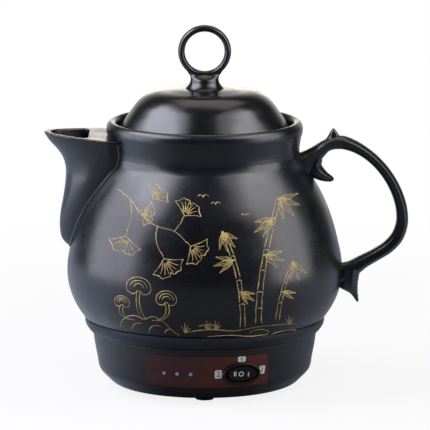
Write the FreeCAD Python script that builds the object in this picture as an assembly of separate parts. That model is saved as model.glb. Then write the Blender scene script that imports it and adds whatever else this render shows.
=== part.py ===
import FreeCAD, Part
import math
import os

from FreeCAD import Placement, Rotation, Vector

# Electric decoction pot for herbal medicine: a dark stoneware vessel with a lift-off lid,
# a scoop spout and an ear handle, fixed on a plastic heating base with a rocker switch.
# Millimetres, +Z up. The spout points to -X, the handle to +X and the controls to -Y.
# Everything is built about the pot's axis with the feet on z = 0, and moved once, on
# export, so that the origin is under the middle of the whole object.

# ---- Vessel
WALL = 5.0                  # stoneware wall
FLOOR_Z = 45.5              # underside of the pot's floor
FLOOR_T = 6.0
FOOT_R = 79.5               # foot that stands inside the collar
SHOULDER_R = 84.0           # where the belly starts, over the collar's edge
SHOULDER_Z = 50.8
BELLY = [(SHOULDER_R, SHOULDER_Z), (90.2, 59.9), (95.3, 73.5), (96.3, 84.0), (93.0, 105.2),
         (85.0, 130.4), (76.4, 147.2), (67.6, 161.4)]
NECK_R = 66.3
NECK_Z = 165.5
RIM = [(NECK_R, NECK_Z), (66.3, 170.0), (67.3, 176.5), (68.6, 182.2), (67.8, 186.4),
       (65.0, 188.6), (62.5, 187.4), (61.6, 184.6)]
GALLERY_R = 61.6            # inside of the rim, around the lid
LEDGE_R = 55.4              # mouth, inside the ledge that carries the lid
LEDGE_Z = 181.0
LEDGE_T = 2.8
NECK_WALL = 5.8
STRAINER_ROWS = 5           # row n has n holes, a triangle behind the spout
STRAINER_HOLE_R = 2.6
STRAINER_PITCH = 9.0
STRAINER_Z = 117.0

# ---- Lid
LID_R = 59.4
LID_GAP = 0.3               # between the lid's edge and the ledge
LID_WALL = 4.6
LID_DOME = [(57.8, 185.6), (55.2, 190.2), (50.9, 196.4), (46.7, 201.8), (38.4, 207.9),
            (24.0, 210.6), (0.0, 211.5)]
LID_COLLAR_R = 54.4         # ring under the lid that keeps it in the mouth
LID_COLLAR_T = 3.8
LID_COLLAR_DROP = 8.0
VENT_R = 2.2
VENT_REACH = 37.5
VENT_AZIMUTH = 163.0        # degrees, over the spout and a little to the back
RING_Z = 237.2              # centre of the ring knob
RING_R_OUT = 18.5
RING_R_IN = 13.8
RING_T = 7.4                # ring's thickness front to back
# Stem: level, half width along the ring, half width across it
STEM = [(210.0, 16.4, 16.3), (211.2, 14.2, 14.1), (212.4, 12.5, 12.4), (213.8, 11.3, 11.2),
        (215.9, 10.1, 10.0), (217.8, 9.8, 9.1), (219.2, 9.95, 7.4), (220.4, 10.4, 5.2),
        (221.6, 11.2, 3.6), (223.4, 12.5, 3.3), (226.0, 14.0, 3.0)]

# ---- Spout: level, reach of its front, half width, place of the full width, roundness
SPOUT_WALL = 4.6
SPOUT_BACK = 50.0
SPOUT = [(91.0, 85.6, 3.0, 77.0, 0.9), (98.5, 93.4, 6.0, 84.0, 0.9),
         (105.2, 99.9, 9.5, 86.0, 0.9), (114.0, 101.5, 13.0, 86.0, 0.9),
         (124.0, 100.9, 17.0, 84.0, 0.85), (136.0, 98.8, 22.5, 80.0, 0.8),
         (147.0, 97.3, 27.0, 74.0, 0.7), (156.0, 97.2, 29.5, 68.0, 0.6),
         (163.5, 99.3, 30.6, 66.0, 0.45), (170.0, 104.0, 31.3, 66.0, 0.3),
         (175.5, 109.0, 31.6, 67.0, 0.15), (183.0, 113.2, 31.8, 68.0, 0.1)]
DECK_Z = 178.4              # flat top of the spout at the neck
DECK_RISE = 2.6             # rise of that top from the neck to the tip
DECK_T = 4.2
DECK_CORNER = 8.0           # how far the deck's back corners turn in to the neck
HOLE_BACK = 81.0            # back edge of the pouring opening in the deck
HOLE_HALF = 23.4
HOLE_CORNER = 9.0
CHANNEL_FLOOR_Z = 104.0

# ---- Handle: place along X, height, thickness in its plane, width
HANDLE = [(62.0, 153.4, 21.0, 20.0), (71.0, 159.2, 16.6, 19.0), (78.8, 166.0, 10.8, 16.5),
          (86.2, 171.5, 8.8, 14.0), (95.2, 173.1, 9.6, 13.2), (103.6, 170.6, 8.4, 13.0),
          (112.4, 165.6, 7.5, 13.0), (121.1, 158.1, 7.4, 13.0), (129.0, 148.0, 7.5, 13.0),
          (134.7, 136.7, 7.7, 13.0), (137.8, 125.4, 8.1, 13.0), (138.0, 115.6, 8.6, 13.2),
          (135.0, 106.6, 9.0, 13.4), (128.9, 99.5, 9.1, 13.6), (120.3, 93.8, 8.9, 14.0),
          (111.0, 88.6, 9.6, 14.6), (102.8, 83.4, 11.8, 15.8), (94.4, 80.0, 15.6, 17.6),
          (84.0, 79.4, 16.6, 18.0)]
HORN = [(90.2, 171.6, 16.0, 9.5), (90.1, 177.0, 9.2, 6.8), (89.9, 180.6, 4.6, 4.2),
        (89.9, 182.9, 1.4, 1.4)]
THORN = [(76.0, 157.8, 12.4, 14.0), (79.0, 153.4, 10.2, 12.0), (82.7, 150.0, 7.4, 9.0),
         (86.4, 147.8, 5.6, 6.4), (89.7, 146.8, 2.6, 2.8)]
SPIKE = [(99.8, 82.6, 14.6, 13.0), (101.7, 76.6, 12.4, 10.8), (103.0, 71.2, 9.0, 8.6),
         (104.8, 66.0, 5.8, 6.2), (106.7, 61.9, 3.3, 3.6), (107.8, 59.8, 0.9, 1.0)]
RIDGE = [(0.50, 0.00), (0.42, 0.34), (0.17, 0.50), (-0.28, 0.43), (-0.47, 0.22),
         (-0.50, 0.00)]     # half of the limb's section, as shares of thickness and width

# ---- Base
FEET_H = 3.5
SHELL_FOOT_R = 73.8         # wall radius where the rounded bottom edge ends
SHELL_FOOT_Z = 14.4
SHELL_LEAN = 0.23           # how fast the wall widens upwards there
SHELL_BEND = -0.002         # and how that lessens with height
SHELL_TOP_Z = 40.0
SHELL_T = 2.6
SHELL_OPEN_R = 57.0         # opening for the bottom cover
SHELL_BOTTOM_R = 60.5
COLLAR_TOP_Z = 50.4
COLLAR_IN_R = 80.2
COLLAR_LEDGE_Z = 44.0
COLLAR_HOLE_R = 64.5
COLLAR_SIDE = [(79.7, 41.0), (82.2, 43.7), (83.7, 46.6), (84.0, COLLAR_TOP_Z - 0.8)]
COVER_T = 2.5
COVER_GAP = 0.4
BOSS_RING_R = 50.0
LUG_RING_R = 69.5
LUG_AZIMUTHS = (30.0, 150.0, 210.0, 330.0)
FOOT_RING_R = 46.0

# ---- Control panel, on the front of the base; angles are from the front, right positive
PANEL_LEFT = -32.8
PANEL_RIGHT = 35.2
PANEL_BOTTOM_Z = 13.6
PANEL_TOP_Z = 35.9
PANEL_T = 0.7
PANEL_CORNER = 2.4
SWITCH_ANGLE = 19.5
CONTROL_Z = 23.6
BEZEL_HALF_W = 13.6
BEZEL_HALF_H = 8.0
BEZEL_PROUD = 2.2
CUTOUT_HALF_W = 12.6        # oval cut-out in the panel and the wall
CUTOUT_HALF_H = 7.0
WELL_HALF_W = 11.9          # well in the bezel, around the rocker
WELL_HALF_H = 6.3
ROCKER_HALF_W = 10.4
ROCKER_HALF_H = 5.2
ROCKER_PROUD = 3.0
ROCKER_PIVOT_DEPTH = 3.5
ROCKER_DISH = 1.3
TRUNNION_R = 1.2
LED_ANGLES = (-21.4, -14.3, -7.2)
LED_R = 1.5
LENS_R = 1.3
BOARD_DEPTH = 9.8           # lamp board's face, behind the wall
BOARD_SCREW_X = 13.5

# ---- Heater
PLATE_R = 62.0
PLATE_T = 8.0
ELEMENT_RING_R = 44.0
ELEMENT_R = 3.25
ELEMENT_GAP = 12.0          # half angle of the gap between the element's two ends
BAR_T = 1.5
BAR_HALF_W = 8.0
BAR_END_X = 71.8
BAR_RISE = 2.5              # of the bar's ends over its middle
CLAMP_SCREW_X = BAR_END_X - 3.5
SHIELD_R = 48.0
SHIELD_Z = 29.0
SHIELD_T = 0.8
THERMOSTAT_R = 8.5
THERMOSTAT_SCREW_X = 13.5
SHIELD_SCREW_X = 26.0       # in the clamp bar; the right one also takes the earth lug
FUSE_X = -38.0
FUSE_DROP = 2.4             # fuse axis under the bar
FUSE_LEAD_Y = 10.0
FUSE_SCREW_X = FUSE_X - 6.5
LUG_T = 0.8

# ---- Inlet for the detachable lead
INLET_Z = 22.0
INLET_FACE_Y = 79.5
INLET_HALF_W = 27.0
INLET_HALF_H = 12.6
INLET_SCREW_X = 20.0
INLET_FLANGE_T = 2.4
PIN_PLACES = [(-7.0, -2.0), (0.0, 2.0), (7.0, -2.0)]    # earth in the middle, higher
WIRE_R = 1.1
DIODE_PLACE = 7.6           # along the straight run of the low-heat wire

ORIGIN = Vector(0, 0, 0)
UP = Vector(0, 0, 1)


def shell_radius(z):
    """Outer radius of the base's wall at a height."""
    rise = z - SHELL_FOOT_Z
    return SHELL_FOOT_R + SHELL_LEAN * rise + SHELL_BEND * rise * rise


PLATE_Z = FLOOR_Z - PLATE_T
BAR_Z = PLATE_Z - BAR_T
CONTROL_R = shell_radius(CONTROL_Z)
WALL_TILT = math.degrees(math.atan(SHELL_LEAN + 2 * SHELL_BEND * (CONTROL_Z - SHELL_FOOT_Z)))
LED_STEP = CONTROL_R * math.tan(math.radians(LED_ANGLES[2] - LED_ANGLES[1])) * 0.93
ELEMENT_END_X = ELEMENT_RING_R * math.sin(math.radians(ELEMENT_GAP))
ELEMENT_END_Y = ELEMENT_RING_R * math.cos(math.radians(ELEMENT_GAP))


def rz(r, z):
    return Vector(r, 0, z)


def polar(r, azimuth, z):
    turn = math.radians(azimuth)
    return Vector(r * math.cos(turn), r * math.sin(turn), z)


def line(a, b):
    return Part.makeLine(a, b)


def polyline(points):
    return [line(a, b) for a, b in zip(points, points[1:])]


def spline(points, start=None, end=None, periodic=False):
    """Smooth edge through points, with end directions where they are given."""
    curve = Part.BSplineCurve()
    if start:
        curve.interpolate(Points=points, InitialTangent=start, FinalTangent=end)
    else:
        curve.interpolate(Points=points, PeriodicFlag=periodic)
    return curve.toShape()


def turned(edges, angle=360):
    """Solid of revolution about the pot's axis from a closed chain of edges."""
    face = Part.Face(Part.Wire(edges))
    return face.revolve(ORIGIN, UP, angle)


def tube(r_in, r_out, z_low, z_high):
    height = z_high - z_low
    outer = Part.makeCylinder(r_out, height, rz(0, z_low))
    return outer.cut(Part.makeCylinder(r_in, height, rz(0, z_low)))


def rod(r, z_low, z_high, at=ORIGIN):
    return Part.makeCylinder(r, z_high - z_low, Vector(at.x, at.y, z_low))


def block(x0, x1, y0, y1, z0, z1):
    return Part.makeBox(x1 - x0, y1 - y0, z1 - z0, Vector(x0, y0, z0))


def moved(shape, vector):
    copy = shape.copy()
    copy.translate(vector)
    return copy


def spun(shape, azimuth):
    copy = shape.copy()
    copy.rotate(ORIGIN, UP, azimuth)
    return copy


def around(shape, azimuths):
    return [spun(shape, azimuth) for azimuth in azimuths]


def joined(shapes):
    solid = shapes[0]
    if len(shapes) > 1:
        solid = solid.fuse(shapes[1:])
    return solid.removeSplitter()


def group(shapes):
    return Part.makeCompound(shapes)


def rounded_slab(half_w, half_h, corner, y_front, y_back):
    """Plate with rounded corners, standing in XZ, from y_front to y_back."""
    slab = block(-half_w, half_w, y_front, y_back, -half_h, half_h)
    corners = [e for e in slab.Edges if abs(e.tangentAt(e.FirstParameter).y) > 0.5]
    return slab.makeFillet(corner, corners)


def oval_slab(half_w, half_h, y_front, y_back):
    ellipse = Part.Ellipse(ORIGIN, half_w, half_h).toShape()
    face = Part.Face(Part.Wire(ellipse))
    face.rotate(ORIGIN, Vector(1, 0, 0), 90)
    face.translate(Vector(0, y_front, 0))
    return face.extrude(Vector(0, y_back - y_front, 0))


def screw(r, head_r, head_h, length, at, direction):
    """Round-headed screw with a cross slot; its head is under the point `at`."""
    head = Part.makeCylinder(head_r, head_h, rz(0, -head_h))
    rim = [e for e in head.Edges if e.BoundBox.ZMax < 0.01 - head_h]
    head = head.makeFillet(head_h * 0.45, rim)
    slot = head_r * 0.55
    depth = head_h * 0.5
    for half_x, half_y in ((slot, 0.4), (0.4, slot)):
        head = head.cut(block(-half_x, half_x, -half_y, half_y, -head_h, depth - head_h))
    body = joined([head, Part.makeCylinder(r, length)])
    body.Placement = Placement(at, Rotation(UP, direction))
    return body


def on_wall(shape, angle):
    """Carry a piece built with its front to -Y at the origin to the base's wall."""
    copy = shape.copy()
    copy.rotate(ORIGIN, Vector(1, 0, 0), WALL_TILT)
    copy.translate(Vector(0, -CONTROL_R, CONTROL_Z))
    copy.rotate(ORIGIN, UP, angle)
    return copy


def wall_point(x, depth, z, angle):
    """Point at an offset in the frame that on_wall uses."""
    return on_wall(Part.Vertex(Vector(x, depth, z)), angle).Point


# ---------------------------------------------------------------- vessel

def belly_curve():
    lean_out = Vector(0.75, 0, 0.95)
    lean_in = Vector(-0.58, 0, 0.82)
    return spline([rz(r, z) for r, z in BELLY], lean_out, lean_in)


def inner_belly():
    """The belly's outline moved in by the wall's thickness."""
    outer = belly_curve()
    points = []
    for share in (0.12, 0.24, 0.38, 0.52, 0.68, 0.84, 0.97):
        at = outer.FirstParameter + share * (outer.LastParameter - outer.FirstParameter)
        along = outer.tangentAt(at)
        points.append(outer.valueAt(at) + Vector(-along.z, 0, along.x) * WALL)
    return points


def vessel_outline():
    """Outer outline from the middle of the floor up to the inside of the rim."""
    foot = polyline([rz(0, FLOOR_Z), rz(FOOT_R - 5, FLOOR_Z), rz(FOOT_R, FLOOR_Z + 3.5),
                     rz(FOOT_R, SHOULDER_Z), rz(SHOULDER_R, SHOULDER_Z)])
    crease = [line(rz(*BELLY[-1]), rz(*RIM[0]))]
    rim = [spline([rz(r, z) for r, z in RIM], Vector(0, 0, 1), Vector(0, 0, -1))]
    return foot + [belly_curve()] + crease + rim


def vessel_filled():
    """The vessel as one filled lump, to trim the spout and the handle against."""
    top = rz(*RIM[-1])
    cap = polyline([top, rz(0, top.z), rz(0, FLOOR_Z)])
    return turned(vessel_outline() + cap)


def strainer_holes():
    holes = []
    for row in range(STRAINER_ROWS):
        z = STRAINER_Z + row * STRAINER_PITCH
        for place in range(row + 1):
            y = (place - row / 2) * STRAINER_PITCH
            start = Vector(-SPOUT_BACK, y, z)
            holes.append(Part.makeCylinder(STRAINER_HOLE_R, 60, start, Vector(-1, 0, 0)))
    return holes


def pot_body():
    inside = inner_belly()
    neck_in = NECK_R - NECK_WALL
    floor_top = FLOOR_Z + FLOOR_T
    gallery = polyline([rz(*RIM[-1]), rz(GALLERY_R, LEDGE_Z), rz(LEDGE_R, LEDGE_Z),
                        rz(LEDGE_R, LEDGE_Z - LEDGE_T), rz(neck_in, LEDGE_Z - 8.0),
                        rz(neck_in, NECK_Z), inside[-1]])
    bowl = spline(inside[::-1] + [rz(76.0, floor_top + 1.6), rz(70.0, floor_top)],
                  Vector(0.6, 0, -0.8), Vector(-1, 0, 0))
    floor = polyline([rz(70.0, floor_top), rz(0, floor_top), rz(0, FLOOR_Z)])
    pot = turned(vessel_outline() + gallery + [bowl] + floor)
    return pot.cut(strainer_holes())


# ---------------------------------------------------------------- spout

def spout_front(reach, half, wide, roundness, steps=5):
    """Points of the front of a level cut, from the full width to the tip."""
    points = []
    for step in range(steps):
        s = 1 - step / steps
        bulge = 1 + roundness * (math.sqrt(2 - s * s) - 1)
        points.append((-reach + (reach - wide) * s * s, half * s * bulge))
    return points


def spout_cut(level, inset):
    z, reach, half, wide, roundness = level
    tip = reach - inset
    side = half - inset
    turn_in = DECK_CORNER if z > BELLY[-1][1] else 0.0
    near = [(-SPOUT_BACK, side - turn_in)] + spout_front(tip, side, wide, roundness)
    far = [(x, -y) for x, y in reversed(near)]
    points = [Vector(x, y, z) for x, y in near + [(-tip, 0.0)] + far]
    return Part.Wire([spline(points), line(points[-1], points[0])])


def spout_lump(levels, inset):
    return Part.makeLoft([spout_cut(level, inset) for level in levels], True)


def under_deck(drop):
    """Everything below the spout's sloping top, lowered by `drop`."""
    reach = SPOUT[-1][1] + 10
    rise = DECK_RISE * (reach - NECK_R) / (SPOUT[-2][1] - NECK_R)
    outline = [Vector(-NECK_R, 0, DECK_Z), Vector(-reach, 0, DECK_Z + rise),
               Vector(-reach, 0, 60), Vector(-40, 0, 60), Vector(-40, 0, DECK_Z)]
    face = Part.Face(Part.makePolygon(outline + outline[:1]))
    face.translate(Vector(0, -50, -drop))
    return face.extrude(Vector(0, 100, 0))


def pouring_hole():
    """Upright region in front of the closed deck, with rounded back corners."""
    region = block(-150, -HOLE_BACK, -HOLE_HALF, HOLE_HALF, CHANNEL_FLOOR_Z, DECK_Z + 20)
    corners = [e for e in region.Edges if e.Length > 60 and e.BoundBox.XMin > -HOLE_BACK - 1
               and e.BoundBox.ZLength > 60]
    return region.makeFillet(HOLE_CORNER, corners)


def spout():
    levels = [level for level in SPOUT if level[0] >= CHANNEL_FLOOR_Z]
    channel = spout_lump(levels, SPOUT_WALL)
    lump = spout_lump(SPOUT, 0).common(under_deck(0)).cut(vessel_filled())
    return lump.cut([channel.common(under_deck(DECK_T)), channel.common(pouring_hole())])


# ---------------------------------------------------------------- handle

def limb(stations, twist=1):
    """Ridged limb lofted along a smooth line in XZ; `twist` turns the ridge over."""
    path = spline([rz(x, z) for x, z, deep, wide in stations])
    cuts = []
    for x, z, deep, wide in stations:
        at = path.Curve.parameter(rz(x, z))
        along = path.tangentAt(at)
        out = Vector(-along.z, 0, along.x) * twist
        half = [(u * deep, v * wide) for u, v in RIDGE]
        ring = half + [(u, -v) for u, v in reversed(half[1:-1])]
        points = [rz(x, z) + out * u + Vector(0, v, 0) for u, v in ring]
        cuts.append(Part.Wire(spline(points, periodic=True)))
    return Part.makeLoft(cuts, True)


def handle():
    whole = joined([limb(HANDLE), limb(HORN), limb(THORN), limb(SPIKE, -1)])
    return whole.cut(vessel_filled())


# ---------------------------------------------------------------- lid

def lid_dome(shift):
    """The dome's outline, moved inwards by `shift` along its normal."""
    steep = Vector(-0.3, 0, 0.95)
    level = Vector(-1, 0, 0)
    outer = spline([rz(r, z) for r, z in LID_DOME], steep, level)
    if not shift:
        return outer
    points = []
    for share in (0.06, 0.2, 0.36, 0.52, 0.68, 0.84, 1.0):
        at = outer.FirstParameter + share * (outer.LastParameter - outer.FirstParameter)
        along = outer.tangentAt(at)
        points.append(outer.valueAt(at) + Vector(-along.z, 0, along.x) * shift)
    points[-1].x = 0
    return spline(points, steep, level)


def lid():
    low = LEDGE_Z + LID_GAP
    dome = lid_dome(0)
    ceiling = lid_dome(LID_WALL)
    collar_in = LID_COLLAR_R - LID_COLLAR_T
    under = ceiling.valueAt(ceiling.FirstParameter)
    bottom = LEDGE_Z - LID_COLLAR_DROP
    edge = polyline([under, rz(collar_in, low + 2), rz(collar_in, bottom), rz(LID_COLLAR_R, bottom),
                     rz(LID_COLLAR_R, low), rz(LID_R, low), rz(LID_R, low + 2.2),
                     rz(*LID_DOME[0])])
    centre = [line(rz(*LID_DOME[-1]), ceiling.valueAt(ceiling.LastParameter))]
    shell = turned(edge + [dome] + centre + [ceiling])
    vent = polar(VENT_REACH, VENT_AZIMUTH, 190)
    return shell.cut(Part.makeCylinder(VENT_R, 30, vent))


def lid_knob():
    """Ring on a short stem that spreads into a skirt on the dome."""
    middle = (RING_R_OUT + RING_R_IN) / 2
    section = Part.Ellipse(ORIGIN, RING_T / 2, (RING_R_OUT - RING_R_IN) / 2).toShape()
    section.rotate(ORIGIN, UP, 90)
    section.translate(Vector(middle, 0, 0))
    ring = Part.Face(Part.Wire(section)).revolve(ORIGIN, Vector(0, 1, 0), 360)
    ring.translate(rz(0, RING_Z))
    cuts = [Part.Wire(Part.Ellipse(rz(0, z), along, across).toShape())
            for z, along, across in STEM]
    in_ring = Part.makeCylinder(middle, 60, Vector(0, -30, RING_Z), Vector(0, 1, 0))
    stem = Part.makeLoft(cuts, True).cut(in_ring)
    dome_edge = lid_dome(0)
    under_dome = turned([dome_edge] + polyline([rz(*LID_DOME[-1]), rz(0, 180),
                                               rz(LID_DOME[0][0], 180), rz(*LID_DOME[0])]))
    return joined([ring, stem]).cut(under_dome)


# ---------------------------------------------------------------- base

def wall_points(z_low, z_high, offset, count=5):
    step = (z_high - z_low) / (count - 1)
    return [rz(shell_radius(z_low + step * n) + offset, z_low + step * n) for n in range(count)]


def shell_side(offset, bottom_z):
    """Wall outline from the bottom edge, round the corner and up to the seam."""
    corner = [rz(SHELL_BOTTOM_R + offset, bottom_z), rz(69.7 + offset, 9.6 - offset * 0.5)]
    wall = wall_points(SHELL_FOOT_Z, SHELL_TOP_Z, offset)
    return spline(corner + wall, Vector(1, 0, 0.12), Vector(SHELL_LEAN * 0.6, 0, 1))


def shell_lump(extra):
    """The base's outside as a filled lump, `extra` larger all round."""
    side = shell_side(extra, FEET_H)
    low = rz(SHELL_BOTTOM_R + extra, FEET_H)
    high = rz(shell_radius(SHELL_TOP_Z) + extra, SHELL_TOP_Z)
    return turned([side] + polyline([high, rz(0, high.z), rz(0, low.z), low]))


def inlet_bay(inset, y_front, y_back):
    bay = rounded_slab(INLET_HALF_W - inset, INLET_HALF_H - inset, 3.0, y_front, y_back)
    return moved(bay, Vector(0, 0, INLET_Z))


def base_shell():
    inside_z = FEET_H + SHELL_T
    outer = shell_side(0, FEET_H)
    inner = shell_side(-SHELL_T, inside_z)
    bottom = polyline([rz(SHELL_BOTTOM_R - SHELL_T, inside_z), rz(SHELL_OPEN_R, inside_z),
                       rz(SHELL_OPEN_R, FEET_H), rz(SHELL_BOTTOM_R, FEET_H)])
    top = [line(rz(shell_radius(SHELL_TOP_Z), SHELL_TOP_Z),
                rz(shell_radius(SHELL_TOP_Z) - SHELL_T, SHELL_TOP_Z))]
    shell = turned(bottom + [outer] + top + [inner])
    bay = inlet_bay(0, 60, INLET_FACE_Y)
    lug = joined([block(65, 76, -5, 5, 31, 34.5), rod(5, 31, 34.5, rz(LUG_RING_R - 2, 0))])
    boss = joined([rod(4.2, inside_z, 16, rz(BOSS_RING_R, 0)),
                   block(BOSS_RING_R, 70, -1.5, 1.5, inside_z, 12)])
    inner_lump = shell_lump(0).cut(shell)
    fittings = [piece.common(inner_lump) for piece in
                around(lug, LUG_AZIMUTHS) + around(boss, range(45, 360, 90))]
    whole = joined([shell, bay.cut(inner_lump)] + fittings)
    holes = [inlet_bay(SHELL_T, 50, INLET_FACE_Y - SHELL_T),
             moved(rounded_slab(14.0, 10.2, 2.0, 70, INLET_FACE_Y + 1), rz(0, INLET_Z))]
    for x in (-INLET_SCREW_X, INLET_SCREW_X):
        holes.append(Part.makeCylinder(1.8, 12, Vector(x, 72, INLET_Z), Vector(0, 1, 0)))
    holes += around(rod(1.9, 30, 36, rz(LUG_RING_R, 0)), LUG_AZIMUTHS)
    holes += around(rod(1.65, 5, 14.5, rz(BOSS_RING_R, 0)), range(45, 360, 90))
    return whole.cut(holes + [switch_opening()] + lamp_openings(LENS_R + 0.3))


def switch_opening():
    """Hole for the switch through the panel and the wall behind it."""
    return on_wall(joined([oval_slab(CUTOUT_HALF_W, CUTOUT_HALF_H, -6, 6),
                           rounded_slab(10.4, 6.4, 1.0, -6, 10)]), SWITCH_ANGLE)


def lamp_openings(r):
    pin = Part.makeCylinder(r, 16, Vector(0, -6, 0), Vector(0, 1, 0))
    return [on_wall(pin, angle) for angle in LED_ANGLES]


def control_panel():
    left = CONTROL_R * math.sin(math.radians(PANEL_LEFT))
    right = CONTROL_R * math.sin(math.radians(PANEL_RIGHT))
    half_h = (PANEL_TOP_Z - PANEL_BOTTOM_Z) / 2
    window = rounded_slab((right - left) / 2, half_h, PANEL_CORNER, -100, -40)
    window.translate(Vector((left + right) / 2, 0, PANEL_BOTTOM_Z + half_h))
    sheet = shell_lump(PANEL_T).common(window).cut(shell_lump(0))
    return sheet.cut([switch_opening()] + lamp_openings(LENS_R))


def collar_ring():
    seam = shell_radius(SHELL_TOP_Z)
    side = spline([rz(seam, SHELL_TOP_Z)] + [rz(r, z) for r, z in COLLAR_SIDE],
                  Vector(0.7, 0, 0.7), Vector(0, 0, 1))
    top_r = COLLAR_SIDE[-1][0]
    spigot_out = wall_points(35.5, SHELL_TOP_Z, -SHELL_T - 0.3, 2)
    rest = polyline([rz(*COLLAR_SIDE[-1]), rz(top_r - 0.8, COLLAR_TOP_Z),
                     rz(COLLAR_IN_R, COLLAR_TOP_Z), rz(COLLAR_IN_R, COLLAR_LEDGE_Z),
                     rz(COLLAR_HOLE_R, COLLAR_LEDGE_Z),
                     rz(COLLAR_HOLE_R, SHELL_TOP_Z), rz(72.8, SHELL_TOP_Z), rz(72.8, 35.5),
                     spigot_out[0], spigot_out[1], rz(seam, SHELL_TOP_Z)])
    ring = turned([side] + rest)
    bosses = around(rod(4, 34.5, 42, rz(LUG_RING_R, 0)), LUG_AZIMUTHS)
    ring = joined([ring] + bosses)
    pilots = around(rod(1.75, 34, 43, rz(LUG_RING_R, 0)), LUG_AZIMUTHS)
    pilots += around(rod(1.75, 38, 43, rz(CLAMP_SCREW_X, 0)), (0, 180))
    return ring.cut(pilots)


def seat_seal():
    return tube(70.0, 78.6, COLLAR_LEDGE_Z, FLOOR_Z).cut(
        turned(polyline([rz(FOOT_R - 5, FLOOR_Z), rz(FOOT_R, FLOOR_Z + 3.5), rz(FOOT_R, FLOOR_Z),
                         rz(FOOT_R - 5, FLOOR_Z)])))


def bottom_cover():
    cover = rod(SHELL_OPEN_R - COVER_GAP, FEET_H, FEET_H + COVER_T)
    slot = joined([block(24, 38, -1.5, 1.5, 0, 10), rod(1.5, 0, 10, rz(24, 0)),
                   rod(1.5, 0, 10, rz(38, 0))])
    cuts = around(slot, range(15, 375, 30))
    cuts += around(rod(1.9, 0, 10, rz(BOSS_RING_R, 0)), range(45, 360, 90))
    cuts += around(rod(2.5, 0, 10, rz(FOOT_RING_R, 0)), range(0, 360, 90))
    return cover.cut(cuts)


def rubber_feet():
    top = FEET_H + COVER_T
    pad = Part.makeCone(6.2, 7.0, FEET_H)
    foot = joined([pad, rod(2.4, FEET_H, top), Part.makeCone(3.6, 2.0, 2.0, rz(0, top))])
    return group(around(moved(foot, rz(FOOT_RING_R, 0)), range(0, 360, 90)))


def ring_of_screws(r, head_r, head_h, length, ring_r, z, azimuths):
    return group([screw(r, head_r, head_h, length, polar(ring_r, azimuth, z), UP)
                  for azimuth in azimuths])


# ---------------------------------------------------------------- heater

def element_tube():
    """Ring of sheathed heater tube with both ends turned down at the back."""
    start = 90 + ELEMENT_GAP
    ring = Part.makeTorus(ELEMENT_RING_R, ELEMENT_R, rz(0, 0), UP, 0, 360, 360 - 2 * ELEMENT_GAP)
    ring = moved(spun(ring, start), rz(0, PLATE_Z + PLATE_T / 2))
    pieces = [ring]
    for side in (-1, 1):
        end = Vector(side * ELEMENT_END_X, ELEMENT_END_Y, 0)
        pieces.append(rod(ELEMENT_R, 25, PLATE_Z + PLATE_T / 2, end))
        ball = Part.makeSphere(ELEMENT_R, end + rz(0, PLATE_Z + PLATE_T / 2))
        pieces.append(ball)
    return joined(pieces)


def heating_element():
    pieces = [element_tube()]
    for side in (-1, 1):
        end = Vector(side * ELEMENT_END_X, ELEMENT_END_Y, 0)
        pieces.append(moved(block(-2.4, 2.4, -0.4, 0.4, 17, 26), end))
    return joined(pieces)


def heat_plate():
    plate = rod(PLATE_R, PLATE_Z, FLOOR_Z)
    plate = plate.makeFillet(1.2, [e for e in plate.Edges if e.BoundBox.ZMax < PLATE_Z + 0.1])
    return plate.cut(element_tube())


def bar_outline():
    end_z = BAR_Z + BAR_RISE
    low = [(-BAR_END_X, end_z), (-65, end_z), (-62.2, BAR_Z), (62.2, BAR_Z), (65, end_z),
           (BAR_END_X, end_z)]
    high = [(x, z + BAR_T) for x, z in reversed(low)]
    return [Vector(x, -BAR_HALF_W, z) for x, z in low + high]


def clamp_bar():
    points = bar_outline()
    strip = Part.Face(Part.makePolygon(points + points[:1])).extrude(Vector(0, 2 * BAR_HALF_W, 0))
    eye = rod(18, BAR_Z, BAR_Z + BAR_T)
    holes = [rod(THERMOSTAT_R + 0.5, 30, 42)]
    holes += [rod(1.6, 30, 42, rz(side * THERMOSTAT_SCREW_X, 0)) for side in (-1, 1)]
    holes += [rod(1.6, 30, 42, rz(side * SHIELD_SCREW_X, 0)) for side in (-1, 1)]
    holes += [rod(1.9, 34, 42, rz(side * CLAMP_SCREW_X, 0)) for side in (-1, 1)]
    holes.append(rod(1.3, 30, 42, rz(FUSE_SCREW_X, 0)))
    return joined([strip, eye]).cut(holes)


def clamp_screws():
    return group([screw(1.7, 3.2, 2.0, 4.4, rz(x, BAR_Z + BAR_RISE), UP)
                  for x in (-CLAMP_SCREW_X, CLAMP_SCREW_X)])


def heat_shield():
    dish = joined([rod(SHIELD_R, SHIELD_Z, SHIELD_Z + SHIELD_T),
                   tube(SHIELD_R - SHIELD_T, SHIELD_R, SHIELD_Z, SHIELD_Z + 5)])
    holes = [rod(12, 20, 40)]
    holes += [rod(1.7, 20, 40, rz(side * SHIELD_SCREW_X, 0)) for side in (-1, 1)]
    holes += [rod(5.0, 20, 40, Vector(side * ELEMENT_END_X, ELEMENT_END_Y, 0)) for side in (-1, 1)]
    holes += [rod(2.2, 20, 40, Vector(FUSE_X, side * FUSE_LEAD_Y, 0)) for side in (-1, 1)]
    return dish.cut(holes)


def shield_spacers():
    spacer = tube(1.7, 3.5, SHIELD_Z + SHIELD_T, BAR_Z)
    return group([moved(spacer, rz(side * SHIELD_SCREW_X, 0)) for side in (-1, 1)])


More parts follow.
